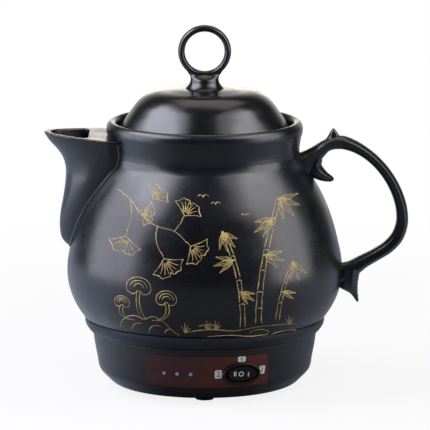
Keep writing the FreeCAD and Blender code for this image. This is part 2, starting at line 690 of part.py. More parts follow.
def thermostat():
    """Disc thermostat: body through the bar, flange under it, two blades below."""
    body = joined([rod(THERMOSTAT_R, 27.5, PLATE_Z), rod(7.0, 25.0, 27.5)])
    flange = rounded_slab(17.0, 5.0, 4.9, 0, 0.8)
    flange.rotate(ORIGIN, Vector(1, 0, 0), 90)
    flange.translate(rz(0, BAR_Z - 0.8))
    flange = flange.cut([rod(1.6, 30, 40, rz(side * THERMOSTAT_SCREW_X, 0)) for side in (-1, 1)])
    blades = [block(side * 4 - 0.4, side * 4 + 0.4, -2.4, 2.4, 18.5, 25.5) for side in (-1, 1)]
    return joined([body, flange] + blades)


def thermostat_screws():
    return group([screw(1.5, 2.6, 1.6, 1.9, rz(x, BAR_Z - 0.8), UP)
                  for x in (-THERMOSTAT_SCREW_X, THERMOSTAT_SCREW_X)])


def thermal_fuse():
    """Sleeved fuse across the bar, its leads turned down through the shield."""
    z = BAR_Z - FUSE_DROP
    body = Part.makeCylinder(2.1, 13, Vector(FUSE_X, -6.5, z), Vector(0, 1, 0))
    pieces = [body]
    for side in (-1, 1):
        lead = Part.makeCylinder(0.6, 4, Vector(FUSE_X, side * 6.0, z), Vector(0, side, 0))
        corner = Part.makeSphere(0.6, Vector(FUSE_X, side * FUSE_LEAD_Y, z))
        pieces += [lead, corner, rod(0.6, 22, z, Vector(FUSE_X, side * FUSE_LEAD_Y, 0))]
    return joined(pieces)


def fuse_clip():
    """Strap bent round the fuse and screwed to the bar beside it."""
    z = BAR_Z - FUSE_DROP
    sleeve = Part.makeCylinder(2.8, 8, Vector(FUSE_X, -4, z), Vector(0, 1, 0))
    strap = sleeve.common(block(FUSE_X - 4, FUSE_X + 4, -4, 4, z - 4, BAR_Z))
    tab = block(FUSE_X - 10, FUSE_X - 2.2, -4, 4, BAR_Z - 0.7, BAR_Z)
    bore = Part.makeCylinder(2.1, 13, Vector(FUSE_X, -6.5, z), Vector(0, 1, 0))
    throat = block(FUSE_X - 2.1, FUSE_X + 2.1, -5, 5, z, BAR_Z)
    screw_hole = rod(1.35, 30, 42, rz(FUSE_SCREW_X, 0))
    return joined([strap, tab]).cut([bore, throat, screw_hole])


# ---------------------------------------------------------------- switch and lamps

def switch_body():
    """Oval bezel over the panel, with a boxy housing behind it."""
    flange = oval_slab(BEZEL_HALF_W, BEZEL_HALF_H, -BEZEL_PROUD, 3)
    front_rim = [e for e in flange.Edges if e.BoundBox.YMax < 0.01 - BEZEL_PROUD]
    flange = on_wall(flange.makeFillet(0.7, front_rim), SWITCH_ANGLE).cut(shell_lump(PANEL_T))
    throat = on_wall(oval_slab(CUTOUT_HALF_W - 0.2, CUTOUT_HALF_H - 0.2, -1.2, 3.4), SWITCH_ANGLE)
    housing = on_wall(rounded_slab(10.2, 6.2, 0.8, -0.8, 15), SWITCH_ANGLE)
    well = oval_slab(WELL_HALF_W, WELL_HALF_H, -6, 2.9)
    chamber = block(-9.4, 9.4, -2, 13, -5.5, 5.5)
    bearing = Part.makeCylinder(TRUNNION_R + 0.06, 11.7, Vector(0, ROCKER_PIVOT_DEPTH, -5.85))
    inside = [on_wall(piece, SWITCH_ANGLE) for piece in (well, chamber, bearing)]
    return joined([flange, throat, housing]).cut(inside)


def switch_rocker():
    """Oval rocker with a dished front, a tapered back and a trunnion at each end."""
    front = -ROCKER_PROUD
    half = ROCKER_HALF_W
    dish = Part.Arc(Vector(-half, front, 0), Vector(0, front + ROCKER_DISH, 0),
                    Vector(half, front, 0)).toShape()
    back = polyline([Vector(half, front, 0), Vector(half, -0.6, 0), Vector(6.4, 5.0, 0),
                     Vector(-6.4, 5.0, 0), Vector(-half, -0.6, 0), Vector(-half, front, 0)])
    lump = Part.Face(Part.Wire([dish] + back)).extrude(rz(0, 20))
    lump = moved(lump, rz(0, -10)).common(oval_slab(half, ROCKER_HALF_H, -6, 8))
    pin = Part.makeCylinder(TRUNNION_R, 11.5, Vector(0, ROCKER_PIVOT_DEPTH, -5.75))
    return on_wall(joined([lump, pin]), SWITCH_ANGLE)


def switch_terminals():
    blade = block(-0.4, 0.4, 15, 21, -2.4, 2.4)
    return group([on_wall(moved(blade, Vector(x, 0, 0)), SWITCH_ANGLE) for x in (-7, 0, 7)])


def board_frame(shape):
    """The lamp board stands square to the middle lamp."""
    return on_wall(shape, LED_ANGLES[1])


def indicator_leds():
    led = joined([Part.makeCylinder(LED_R, 3.2, Vector(0, BOARD_DEPTH, 0), Vector(0, -1, 0)),
                  Part.makeSphere(LED_R, Vector(0, BOARD_DEPTH - 3.2, 0))])
    return group([board_frame(moved(led, Vector(n * LED_STEP, 0, 0))) for n in (-1, 0, 1)])


def indicator_lenses():
    lens = joined([Part.makeCylinder(LENS_R - 0.05, 3.4, Vector(0, 2.2, 0), Vector(0, -1, 0)),
                   Part.makeCylinder(2.4, 1.2, Vector(0, 4.0, 0), Vector(0, -1, 0)),
                   Part.makeCylinder(LENS_R - 0.05, 1.2, Vector(0, 3.2, 0), Vector(0, -1, 0))])
    return group([on_wall(lens, angle) for angle in LED_ANGLES])


def led_board():
    board = block(-16, 16, BOARD_DEPTH, BOARD_DEPTH + 1.6, -6, 6)
    holes = [Part.makeCylinder(1.2, 4, Vector(x, BOARD_DEPTH - 1, -4), Vector(0, 1, 0))
             for x in (-BOARD_SCREW_X, BOARD_SCREW_X)]
    return board_frame(board.cut(holes))


def board_screws():
    return group([screw(1.1, 2.1, 1.3, 6.0, wall_point(x, BOARD_DEPTH + 1.6, -4, LED_ANGLES[1]),
                        wall_point(0, -1, 0, LED_ANGLES[1]) - wall_point(0, 0, 0, LED_ANGLES[1]))
                  for x in (-BOARD_SCREW_X, BOARD_SCREW_X)])


# ---------------------------------------------------------------- inlet

def inlet_housing():
    flange = rounded_slab(25.0, 11.2, 4.0, INLET_FACE_Y, INLET_FACE_Y + INLET_FLANGE_T)
    flange = flange.makeFillet(0.8, [e for e in flange.Edges
                                     if e.BoundBox.YMin > INLET_FACE_Y + INLET_FLANGE_T - 0.1])
    body = rounded_slab(13.7, 9.8, 1.6, 62, INLET_FACE_Y + 1)
    socket = rounded_slab(12.2, 8.0, 1.6, 65, INLET_FACE_Y + 3)
    holes = [Part.makeCylinder(1.8, 12, Vector(side * INLET_SCREW_X, 74, 0), Vector(0, 1, 0))
             for side in (-1, 1)]
    holes += [block(x - 1.0, x + 1.0, 55, 66, z - 2, z + 2) for x, z in PIN_PLACES]
    return moved(joined([flange, body]).cut([socket] + holes), rz(0, INLET_Z))


def inlet_pins():
    return group([block(x - 1.0, x + 1.0, 56, INLET_FACE_Y - 1.5, INLET_Z + z - 2, INLET_Z + z + 2)
                  for x, z in PIN_PLACES])


def inlet_screws():
    front = INLET_FACE_Y + INLET_FLANGE_T
    return group([screw(1.7, 3.2, 1.8, 9.0, Vector(x, front, INLET_Z), Vector(0, -1, 0))
                  for x in (-INLET_SCREW_X, INLET_SCREW_X)])


def inlet_nuts():
    back = INLET_FACE_Y - SHELL_T
    nuts = []
    for x in (-INLET_SCREW_X, INLET_SCREW_X):
        hexagon = [polar(3.2, 60 * n, 0) for n in range(7)]
        nut = Part.Face(Part.makePolygon(hexagon)).extrude(rz(0, 2.4))
        nut.rotate(ORIGIN, Vector(1, 0, 0), 90)
        nut.translate(Vector(x, back, INLET_Z))
        bore = Part.makeCylinder(1.75, 4, Vector(x, back + 1, INLET_Z), Vector(0, -1, 0))
        nuts.append(nut.cut(bore))
    return group(nuts)


# ---------------------------------------------------------------- wiring

def wire(points):
    """Insulated wire along straight runs joined by tangent arcs as large as fit."""
    edges = []
    start = points[0]
    for before, at, after in zip(points, points[1:], points[2:]):
        run_in = (at - before).Length
        run_out = (after - at).Length
        incoming = (at - before).normalize()
        outgoing = (after - at).normalize()
        half_turn = incoming.getAngle(outgoing) / 2
        trim = 0.45 * min(run_in, run_out)
        radius = trim / math.tan(half_turn)
        enter = at - incoming * trim
        leave = at + outgoing * trim
        to_centre = (outgoing - incoming).normalize()
        middle = at + to_centre * (radius / math.cos(half_turn) - radius)
        edges.append(line(start, enter))
        edges.append(Part.Arc(enter, middle, leave).toShape())
        start = leave
    edges.append(line(start, points[-1]))
    path = Part.Wire(edges)
    ring = Part.Wire(Part.Circle(points[0], points[1] - points[0], WIRE_R).toShape())
    return path.makePipeShell([ring], True, False, 1)


def switch_tail(x):
    return [wall_point(x, 25.0, 0, SWITCH_ANGLE), wall_point(x, 21.0, 0, SWITCH_ANGLE)]


def wire_live():
    return wire([Vector(-7, 56, 20), Vector(-7, 50, 20), Vector(-12, 44, 9.4), Vector(-20, 30, 8.6),
                 Vector(-21, 12, 8.6), Vector(-14, -6, 8.8), Vector(-1, -22, 9.5),
                 Vector(11, -35, 16)] + switch_tail(0))


def wire_high():
    x = ELEMENT_END_X + 1.45
    return wire([Vector(x, ELEMENT_END_Y, 17), Vector(x, ELEMENT_END_Y, 12), Vector(19, 33, 10),
                 Vector(25.5, 16, 10), Vector(27, -6, 12), Vector(26, -26, 18)] + switch_tail(7))


def low_route():
    x = ELEMENT_END_X - 1.25
    return [Vector(x, ELEMENT_END_Y, 17), Vector(x, ELEMENT_END_Y, 12.5), Vector(11, 34, 9.5),
            Vector(13, 6, 9.5), Vector(11, -9, 12), Vector(6, -24, 19)] + switch_tail(-7)


def wire_low():
    return wire(low_route())


def power_diode():
    """Sleeved diode on the low-heat wire: the wire runs through the sleeve."""
    start, stop = low_route()[2:4]
    run = (stop - start).normalize()
    at = start + run * DIODE_PLACE
    sleeve = Part.makeCylinder(2.6, 10, at, run)
    return sleeve.cut(Part.makeCylinder(WIRE_R, 10, at, run))


def wire_neutral():
    return wire([Vector(7, 56, 20), Vector(7, 50, 20), Vector(2, 40, 15), Vector(1, 26, 13),
                 Vector(3, 11, 12), Vector(4, 0, 13), Vector(4, 0, 18.5)])


def wire_return():
    y = -FUSE_LEAD_Y
    return wire([Vector(-4, 0, 18.5), Vector(-4, 0, 15), Vector(-13, -6, 14.2),
                 Vector(-26, -11, 15), Vector(FUSE_X, y, 16.5), Vector(FUSE_X, y, 22)])


def wire_fuse():
    x = -ELEMENT_END_X
    return wire([Vector(FUSE_X, FUSE_LEAD_Y, 22), Vector(FUSE_X, FUSE_LEAD_Y, 17),
                 Vector(-33, 22, 14.5), Vector(-22, 36, 14), Vector(x, ELEMENT_END_Y, 13),
                 Vector(x, ELEMENT_END_Y, 17)])


def wire_earth():
    return wire([Vector(0, 56, 24), Vector(0, 49, 24), Vector(5, 38, 24.5), Vector(17, 24, 25),
                 Vector(26, 14, 26.5), Vector(SHIELD_SCREW_X, 6.6, 27.8)])


def earth_lug():
    eye = tube(1.75, 3.8, SHIELD_Z - LUG_T, SHIELD_Z)
    tail = block(-1.6, 1.6, 3.0, 6.5, SHIELD_Z - LUG_T, SHIELD_Z)
    return moved(joined([eye, tail]), rz(SHIELD_SCREW_X, 0))


def shield_screws():
    ends = [rz(-SHIELD_SCREW_X, SHIELD_Z), rz(SHIELD_SCREW_X, SHIELD_Z - LUG_T)]
    return group([screw(1.5, 3.0, 1.8, BAR_Z + 1.2 - end.z, end, UP) for end in ends])


def indicator_wires():
    ends = [wall_point(x, BOARD_DEPTH + 1.6, 3, LED_ANGLES[1]) for x in (-6, 6)]
    back = [wall_point(x, BOARD_DEPTH + 8, 3, LED_ANGLES[1]) for x in (-6, 6)]
    low = wire([ends[0], back[0], Vector(-13, -45, 16), Vector(-3, -44, 13), Vector(6, -45, 17),
                wall_point(-7, 21.0, -3.8, SWITCH_ANGLE)])
    high = wire([ends[1], back[1], Vector(-1, -50, 22), Vector(9, -46, 20),
                 Vector(15, -44.5, 21), wall_point(0, 21.0, -3.8, SWITCH_ANGLE)])
    return group([low, high])


# ---------------------------------------------------------------- the whole pot

def nodes():
    return {
        "pot_body": pot_body(),
        "spout": spout(),
        "handle": handle(),
        "lid": lid(),
        "lid_knob": lid_knob(),
        "collar_ring": collar_ring(),
        "seat_seal": seat_seal(),
        "base_shell": base_shell(),
        "control_panel": control_panel(),
        "bottom_cover": bottom_cover(),
        "rubber_feet": rubber_feet(),
        "cover_screws": ring_of_screws(1.6, 3.4, 1.7, 9.5, BOSS_RING_R, FEET_H,
                                       range(45, 360, 90)),
        "collar_screws": ring_of_screws(1.7, 3.4, 2.0, 11.5, LUG_RING_R, 31.0, LUG_AZIMUTHS),
        "heat_plate": heat_plate(),
        "heating_element": heating_element(),
        "clamp_bar": clamp_bar(),
        "clamp_screws": clamp_screws(),
        "heat_shield": heat_shield(),
        "shield_spacers": shield_spacers(),
        "shield_screws": shield_screws(),
        "thermostat": thermostat(),
        "thermostat_screws": thermostat_screws(),
        "thermal_fuse": thermal_fuse(),
        "fuse_clip": fuse_clip(),
        "fuse_screw": screw(1.25, 2.2, 1.3, 1.9, rz(FUSE_SCREW_X, BAR_Z - 0.7), UP),
        "switch_body": switch_body(),
        "switch_rocker": switch_rocker(),
        "switch_terminals": switch_terminals(),
        "indicator_lenses": indicator_lenses(),
        "indicator_leds": indicator_leds(),
        "led_board": led_board(),
        "board_screws": board_screws(),
        "inlet_housing": inlet_housing(),
        "inlet_pins": inlet_pins(),
        "inlet_screws": inlet_screws(),
        "inlet_nuts": inlet_nuts(),
        "earth_lug": earth_lug(),
        "power_diode": power_diode(),
        "wire_live": wire_live(),
        "wire_neutral": wire_neutral(),
        "wire_earth": wire_earth(),
        "wire_high": wire_high(),
        "wire_low": wire_low(),
        "wire_return": wire_return(),
        "wire_fuse": wire_fuse(),
        "indicator_wires": indicator_wires(),
    }


def main():
    os.makedirs("parts", exist_ok=True)
    parts = nodes()
    front = parts["spout"].optimalBoundingBox(False).XMin
    back = parts["handle"].optimalBoundingBox(False).XMax
    to_middle = Vector(-(front + back) / 2, 0, 0)
    for name, shape in parts.items():
        placed = moved(shape, to_middle)
        placed.exportStep("parts/" + name + ".step")
        print(name, len(placed.Solids), "solids", placed.isValid(), round(placed.Volume, 1))
    print("shift", round(to_middle.x, 3))


main()
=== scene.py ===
import bpy
import bmesh
import math
from mathutils import Matrix, Vector
from mathutils.geometry import interpolate_bezier


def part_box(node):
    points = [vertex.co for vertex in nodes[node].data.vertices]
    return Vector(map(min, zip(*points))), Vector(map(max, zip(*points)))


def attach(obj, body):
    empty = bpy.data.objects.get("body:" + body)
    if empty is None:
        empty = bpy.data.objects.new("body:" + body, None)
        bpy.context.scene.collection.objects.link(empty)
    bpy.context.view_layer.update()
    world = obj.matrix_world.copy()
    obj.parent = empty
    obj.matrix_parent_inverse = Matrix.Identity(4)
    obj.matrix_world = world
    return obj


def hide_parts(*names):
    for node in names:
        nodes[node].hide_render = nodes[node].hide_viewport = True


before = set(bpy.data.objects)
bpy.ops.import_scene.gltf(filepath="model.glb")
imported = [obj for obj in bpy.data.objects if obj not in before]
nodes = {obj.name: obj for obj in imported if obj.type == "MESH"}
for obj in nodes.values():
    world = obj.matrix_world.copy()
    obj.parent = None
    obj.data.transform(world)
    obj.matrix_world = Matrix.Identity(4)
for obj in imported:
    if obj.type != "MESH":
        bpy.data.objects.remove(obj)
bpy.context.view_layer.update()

mm = 0.001
aboutX = Matrix.Rotation(math.radians(90), 4, "X")
aboutY = Matrix.Rotation(math.radians(90), 4, "Y")

# the pot is turned about its own axis, which stands off the middle of the whole object
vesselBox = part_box("pot_body")
axisX = (vesselBox[0].x + vesselBox[1].x) / 2
toAxis = Matrix.Translation((axisX, 0, 0))


# shaping helpers

def easedLine(spots, cuts=8, start=None, end=None):
    # smooth line through the spots; start and end may give its first and last direction
    spots = [Vector(spot) for spot in spots]
    runs = [b - a for a, b in zip(spots, spots[1:])]
    slopes = []
    for before, after in zip(runs, runs[1:]):
        turn = before.normalized() * after.length + after.normalized() * before.length
        slopes.append(turn.normalized())
    ends = slopes or [runs[0].normalized()]
    first = Vector(start) if start else runs[0].normalized() * 2 - ends[0]
    last = Vector(end) if end else runs[-1].normalized() * 2 - ends[-1]
    slopes = [first.normalized()] + slopes + [last.normalized()]
    line = [spots[0]]
    for i, run in enumerate(runs):
        a, b = spots[i], spots[i + 1]
        reach = run.length / 3
        leave, arrive = a + slopes[i] * reach, b - slopes[i + 1] * reach
        line += interpolate_bezier(a, leave, arrive, b, cuts + 1)[1:]
    return line


def upright(pairs):
    return [Vector((r, 0, z)) for r, z in pairs]


def square(along):
    # at right angles to a direction in the XZ plane
    return Vector((-along.z, 0, along.x))


def wholeSection(half):
    # half a section and its mirror image
    return half + [Vector((spot.x, -spot.y, 0)) for spot in reversed(half[1:-1])]


def faceOut(bm):
    bmesh.ops.recalc_face_normals(bm, faces=bm.faces)
    return bm


def spinOutline(outline, steps=160, closed=False, axis=(0, 0, 1)):
    # outline in millimetres in the XZ plane, turned about an axis through the origin
    bm = bmesh.new()
    ring = [bm.verts.new(Vector(spot) * mm) for spot in outline]
    pairs = list(zip(ring, ring[1:])) + ([(ring[-1], ring[0])] if closed else [])
    edges = [bm.edges.new(pair) for pair in pairs]
    bmesh.ops.spin(bm, geom=ring + edges, cent=(0, 0, 0), axis=axis, dvec=(0, 0, 0),
                   angle=math.tau, steps=steps, use_merge=True, use_duplicate=False)
    bmesh.ops.remove_doubles(bm, verts=bm.verts, dist=0.00001)
    return faceOut(bm)


def loftRings(rings):
    # skins closed rings of spots, in millimetres, and caps both ends
    bm = bmesh.new()
    loops = []
    for ring in rings:
        verts = [bm.verts.new(Vector(spot) * mm) for spot in ring]
        loops.append([bm.edges.new(pair) for pair in zip(verts, verts[1:] + verts[:1])])
    for low, high in zip(loops, loops[1:]):
        bmesh.ops.bridge_loops(bm, edges=low + high)
    bmesh.ops.contextual_create(bm, geom=loops[0])
    bmesh.ops.contextual_create(bm, geom=loops[-1])
    return faceOut(bm)


def roundOff(bm, edges, radius, segments, clamp=False):
    bmesh.ops.bevel(bm, geom=edges, offset=radius * mm, offset_type="OFFSET", affect="EDGES",
                    segments=segments, profile=0.5, material=-1, clamp_overlap=clamp)


def easeEdges(bm, width, sharpness=40, segments=3):
    # rounds every edge sharper than the given angle
    least = math.radians(sharpness)
    sharp = [e for e in bm.edges if e.is_manifold and e.calc_face_angle(0) > least]
    roundOff(bm, sharp, width, segments, True)


def edgesAlong(bm, axis, least=10):
    # edges that reach further than this along an axis, in millimetres
    return [e for e in bm.edges if abs(e.verts[0].co[axis] - e.verts[1].co[axis]) > least * mm]


def addPin(bm, radius, depth, place, sides):
    bmesh.ops.create_cone(bm, cap_ends=True, segments=sides, radius1=radius * mm,
                          radius2=radius * mm, depth=depth * mm, matrix=place)


def newObject(name, data):
    thing = bpy.data.objects.new(name, data)
    bpy.context.scene.collection.objects.link(thing)
    return thing


def roughPiece(bm, name):
    mesh = bpy.data.meshes.new(name)
    bm.to_mesh(mesh)
    bm.free()
    return newObject(name, mesh)


def finalMesh(piece):
    # what the piece looks like with its modifiers, or a curve with its thickness
    bpy.context.view_layer.update()
    shown = piece.evaluated_get(bpy.context.evaluated_depsgraph_get())
    return bpy.data.meshes.new_from_object(shown)


def settle(piece):
    # makes the piece's modifiers part of its mesh
    shape = finalMesh(piece)
    old = piece.data
    piece.modifiers.clear()
    piece.data = shape
    bpy.data.meshes.remove(old)
    shape.name = piece.name


def curveShape(curve, place=Matrix()):
    # a curve or a text as a bmesh
    mesh = finalMesh(newObject("drawn", curve))
    bpy.data.curves.remove(curve)
    mesh.transform(place)
    bm = bmesh.new()
    bm.from_mesh(mesh)
    bpy.data.meshes.remove(mesh)
    return bm


def carve(piece, cutter, keep="DIFFERENCE"):
    knife = piece.modifiers.new("carve", "BOOLEAN")
    knife.operation = keep
    knife.solver = "EXACT"
    knife.object = cutter
    settle(piece)
    bpy.data.meshes.remove(cutter.data)


def castSoft(piece, grain, rounds):
    # one skin over overlapping lumps, softened as slip-cast clay is
    skin = piece.modifiers.new("skin", "REMESH")
    skin.mode = "VOXEL"
    skin.voxel_size = grain * mm
    soft = piece.modifiers.new("soft", "SMOOTH")
    soft.factor = 0.5
    soft.iterations = rounds
    settle(piece)


def dress(piece, body, material, instead=(), sharpness=38, place=toAxis):
    # finish and body of a piece whose place goes into its mesh
    mesh = piece.data
    mesh.transform(place)
    bm = bmesh.new()
    bm.from_mesh(mesh)
    for face in bm.faces:
        face.smooth = True
    for edge in bm.edges:
        edge.smooth = edge.calc_face_angle(0) < math.radians(sharpness)
    bm.to_mesh(mesh)
    bm.free()
    mesh.materials.clear()
    mesh.materials.append(material)
    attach(piece, body)
    if instead:
        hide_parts(*instead)
    return piece


# finishes

def newFinish(name, **sockets):
    material = bpy.data.materials.new(name)
    material.use_nodes = True
    shader = material.node_tree.nodes["Principled BSDF"]
    for socket, value in sockets.items():
        shader.inputs[socket.replace("_", " ")].default_value = value
    return material, material.node_tree, shader


def put(tree, kind, sockets=None, **settings):
    # adds a node, its sockets by name or number given a value or linked to another node
    node = tree.nodes.new("ShaderNode" + kind)
    for setting, value in settings.items():
        setattr(node, setting, value)
    for socket, source in (sockets or {}).items():
        if isinstance(source, bpy.types.Node):
            source = source.outputs[0]
        if isinstance(source, bpy.types.NodeSocket):
            tree.links.new(source, node.inputs[socket])
        else:
            node.inputs[socket].default_value = source
    return node


def grainField(tree, scale, detail=3.0, roughness=0.55, stretch=None, warp=0.0):
    place = put(tree, "TexCoord").outputs["Object"]
    if stretch:
        place = put(tree, "Mapping", {"Scale": stretch, "Vector": place})
    return put(tree, "TexNoise", {"Scale": scale, "Detail": detail, "Roughness": roughness,
                                  "Distortion": warp, "Vector": place}).outputs["Fac"]


def ramp(tree, source, stops):
    node = put(tree, "ValToRGB", {"Fac": source})
    marks = node.color_ramp.elements
    while len(marks) < len(stops):
        marks.new(0.5)
    for mark, (at, colour) in zip(marks, stops):
        mark.position = at
        mark.color = (*colour, 1)
    return node


def spread(tree, source, low, high, fromLow=0.3, fromHigh=0.7):
    return put(tree, "MapRange", {"Value": source, "From Min": fromLow, "From Max": fromHigh,
                                  "To Min": low, "To Max": high})


def mixColour(tree, share, first, second):
    first, second = ((*c, 1) if isinstance(c, tuple) else c for c in (first, second))
    return put(tree, "Mix", {0: share, 6: first, 7: second}, data_type="RGBA").outputs[2]


def product(tree, first, second):
    return put(tree, "Math", {0: first, 1: second}, operation="MULTIPLY")


def relief(tree, shader, height, strength, distance, under=None):
    sockets = {"Strength": strength, "Distance": distance * mm, "Height": height}
    bump = put(tree, "Bump", {**sockets, "Normal": under} if under else sockets)
    tree.links.new(bump.outputs[0], shader.inputs["Normal"])
    return bump


def shade(colour, share, more=0.0):
    return tuple(c * share + more for c in colour)


def mottle(tree, low, high, scale, detail=3.0, roughness=0.55):
    # slow patches between two values
    return spread(tree, grainField(tree, scale, detail, roughness), low, high)


def feed(tree, shader, colour, rough):
    tree.links.new(colour, shader.inputs["Base Color"])
    tree.links.new(rough.outputs[0], shader.inputs["Roughness"])


glazeGrain = {
    "clouds": 22,             # patches to a metre in each layer of the glaze
    "flecks": 900,
    "sheen": 60,
    "peel": 520,
    "throwing": 16,
    "speckle": 0.35,          # strength of the flecks
}


def glaze(name, deep, pale, rough, edge=None, peel=0.10, seam=None):
    # dark fired glaze: cloudy colour, fine orange peel, thinner and browner on the edges
    material, tree, shader = newFinish(name, IOR=1.85)
    grain = glazeGrain
    clouds = grainField(tree, grain["clouds"], 4, 0.6, warp=0.4)
    colour = ramp(tree, clouds, [(0.36, deep), (0.66, pale)])
    flecks = grainField(tree, grain["flecks"], 2, 0.5)
    fleck = spread(tree, flecks, 0.0, grain["speckle"], 0.56, 0.72)
    colour = mixColour(tree, fleck, colour, shade(pale, 2.1, 0.002))
    if edge:
        ridge = put(tree, "NewGeometry").outputs["Pointiness"]
        colour = mixColour(tree, spread(tree, ridge, 0.0, 0.85, 0.515, 0.60), colour, edge)
    # a pale colour along the ridge where a piece joins the vessel: a painted highlight
    if seam:
        joint = put(tree, "Attribute", attribute_name="seam").outputs["Fac"]
        colour = mixColour(tree, spread(tree, joint, 0.0, 1.0, 0.25, 0.85), colour, seam)
    feed(tree, shader, colour, mottle(tree, rough - 0.05, rough + 0.07, grain["sheen"], 5, 0.62))
    skin = relief(tree, shader, grainField(tree, grain["peel"], 3, 0.5), peel, 0.10)
    rings = grainField(tree, grain["throwing"], 2, 0.5, (0.25, 0.25, 5.0))
    relief(tree, shader, rings, peel, 0.35, skin)
    return material


def mouldedPlastic(name, colour, rough, grain=1400, depth=0.12, **sockets):
    material, tree, shader = newFinish(name, **sockets)
    cloud = mottle(tree, 0.0, 1.0, 34, 4, 0.6)
    feed(tree, shader, mixColour(tree, cloud, colour, shade(colour, 1.22, 0.003)),
         mottle(tree, rough - 0.05, rough + 0.06, 90, 4))
    relief(tree, shader, grainField(tree, grain, 2, 0.6), depth, 0.06)
    return material


def metalFinish(name, colour, rough, scale, depth, stretch=None):
    material, tree, shader = newFinish(name, Metallic=1.0)
    tone = grainField(tree, scale, 4, 0.6, stretch)
    stain = mottle(tree, 0.0, 1.0, 45, 4, 0.6)
    feed(tree, shader, mixColour(tree, stain, shade(colour, 0.72), colour),
         spread(tree, tone, rough - 0.08, rough + 0.10))
    relief(tree, shader, tone, depth, 0.05)
    return material


def goldLine(name, colour):
    # hand-drawn gold enamel, a little uneven and worn
    material, tree, shader = newFinish(name, Metallic=0.1, IOR=1.5)
    worn = ramp(tree, grainField(tree, 420, 4, 0.65),
                [(0.30, shade(colour, 0.5)), (0.52, colour), (0.78, shade(colour, 1.25))])
    feed(tree, shader, worn.outputs[0], mottle(tree, 0.34, 0.55, 700, 2))
    relief(tree, shader, grainField(tree, 1500, 2), 0.3, 0.05)
    return material


glazeTones = {
    "deep": (0.0013, 0.0021, 0.0038),
    "pale": (0.0030, 0.0046, 0.0095),
}
lidTones = {
    "deep": (0.0016, 0.0020, 0.0022),
    "pale": (0.0036, 0.0040, 0.0040),
}
stonewareGlaze = glaze("satin ink glaze", rough=0.27, edge=(0.040, 0.038, 0.034), **glazeTones)
# its seam colour, pale against the glaze, is a painted highlight along the joins
castGlaze = glaze("cast ink glaze", rough=0.28, peel=0.03, seam=(0.10, 0.105, 0.12), **glazeTones)
lidGlaze = glaze("lid ink glaze", rough=0.22, edge=(0.050, 0.046, 0.036), peel=0.06, **lidTones)
ringGlaze = glaze("ring ink glaze", rough=0.22, peel=0.03, **lidTones)
goldEnamel = goldLine("gold enamel line", (0.62, 0.47, 0.19))
print("finishes of the vessel ready")


# vessel

vesselShape = {
    "foot": [(0, 45.5), (74.5, 45.5), (79.5, 49), (79.5, 50.8)],
    "belly": [(84, 50.8), (90.2, 59.9), (95.3, 73.5), (96.3, 84), (93, 105.2), (85, 130.4),
              (76.4, 147.2), (67.6, 161.4)],
    "rim": [(66.3, 165.5), (66.3, 170), (67.3, 176.5), (68.6, 182.2), (67.8, 186.4),
            (65, 188.6), (62.5, 187.4), (61.6, 184.6)],
    "gallery": [(61.6, 181), (55.4, 181), (55.4, 178.2), (60.5, 173), (60.5, 167)],
    "wall": 5,
    "wallSpan": (57, 160),    # heights between which the inside follows the outside
    "bowl": [(80.6, 55.6), (75.6, 52.4)],
    "floorTop": 51.5,
    "edgeRound": 0.7,
    "rootDepth": 2.4,         # how far the joined pieces reach into the wall
    "strainerRows": 5,
    "strainerHole": 2.6,
    "strainerPitch": 9,
    "strainerLow": 117,
    "strainerReach": (50, 110),
}

bellyLine = easedLine(upright(vesselShape["belly"]), 9, (0.75, 0, 0.95), (-0.58, 0, 0.82))
rimLine = easedLine(upright(vesselShape["rim"]), 6, (0, 0, 1), (0, 0, -1))
outerLine = bellyLine + rimLine


def vesselRadius(z):
    # outer radius at a height, on the belly, the neck or the outside of the rim
    for low, high in zip(outerLine, outerLine[1:]):
        if low.z <= z <= high.z:
            share = (z - low.z) / max(high.z - low.z, 1e-6)
            return low.x + (high.x - low.x) * share
    return outerLine[0].x if z < outerLine[0].z else vesselShape["rim"][3][0]


def wallInside(line, wall):
    # the line moved in by the wall, square to itself
    return [at + square((after - before).normalized()) * wall
            for before, at, after in zip(line, line[1:], line[2:])]


def strainerPins():
    # rows of one to five pins, a triangle standing on its tip behind the spout
    shape = vesselShape
    near, far = shape["strainerReach"]
    pins = bmesh.new()
    for row in range(shape["strainerRows"]):
        z = shape["strainerLow"] + row * shape["strainerPitch"]
        for n in range(row + 1):
            y = (n - row / 2) * shape["strainerPitch"]
            spot = Matrix.Translation(Vector((-(near + far) / 2, y, z)) * mm)
            addPin(pins, shape["strainerHole"], far - near, spot @ aboutY, 28)
    return roughPiece(pins, "pins")


def makeVessel():
    shape = vesselShape
    low, high = shape["wallSpan"]
    inner = [spot for spot in wallInside(bellyLine, shape["wall"]) if low < spot.z < high][::-1]
    floor = upright([(r, shape["floorTop"]) for r in (69, 40, 0)])
    bowl = easedLine([inner[-1]] + upright(shape["bowl"]) + floor[:1], 5, (-0.35, 0, -1), (-1, 0, 0))
    outline = upright(shape["foot"]) + bellyLine + rimLine + upright(shape["gallery"]) + inner
    bm = spinOutline(outline + bowl[1:] + floor[1:], 192)
    easeEdges(bm, shape["edgeRound"], 35)
    vessel = roughPiece(bm, "glazedVessel")
    carve(vessel, strainerPins())
    return dress(vessel, "base", stonewareGlaze, ["pot_body"])


vessel = makeVessel()
print("vessel turned,", len(vessel.data.polygons), "faces")


def vesselCore():
    # the vessel as a filled lump, a little smaller, to trim what is joined to it
    inset = vesselShape["rootDepth"]
    line = [Vector((spot.x - inset, 0, spot.z)) for spot in bellyLine + rimLine[:-9]]
    outline = [Vector((0, 0, line[0].z))] + line + [Vector((0, 0, line[-1].z))]
    return roughPiece(spinOutline(outline, 128), "core")


# spout

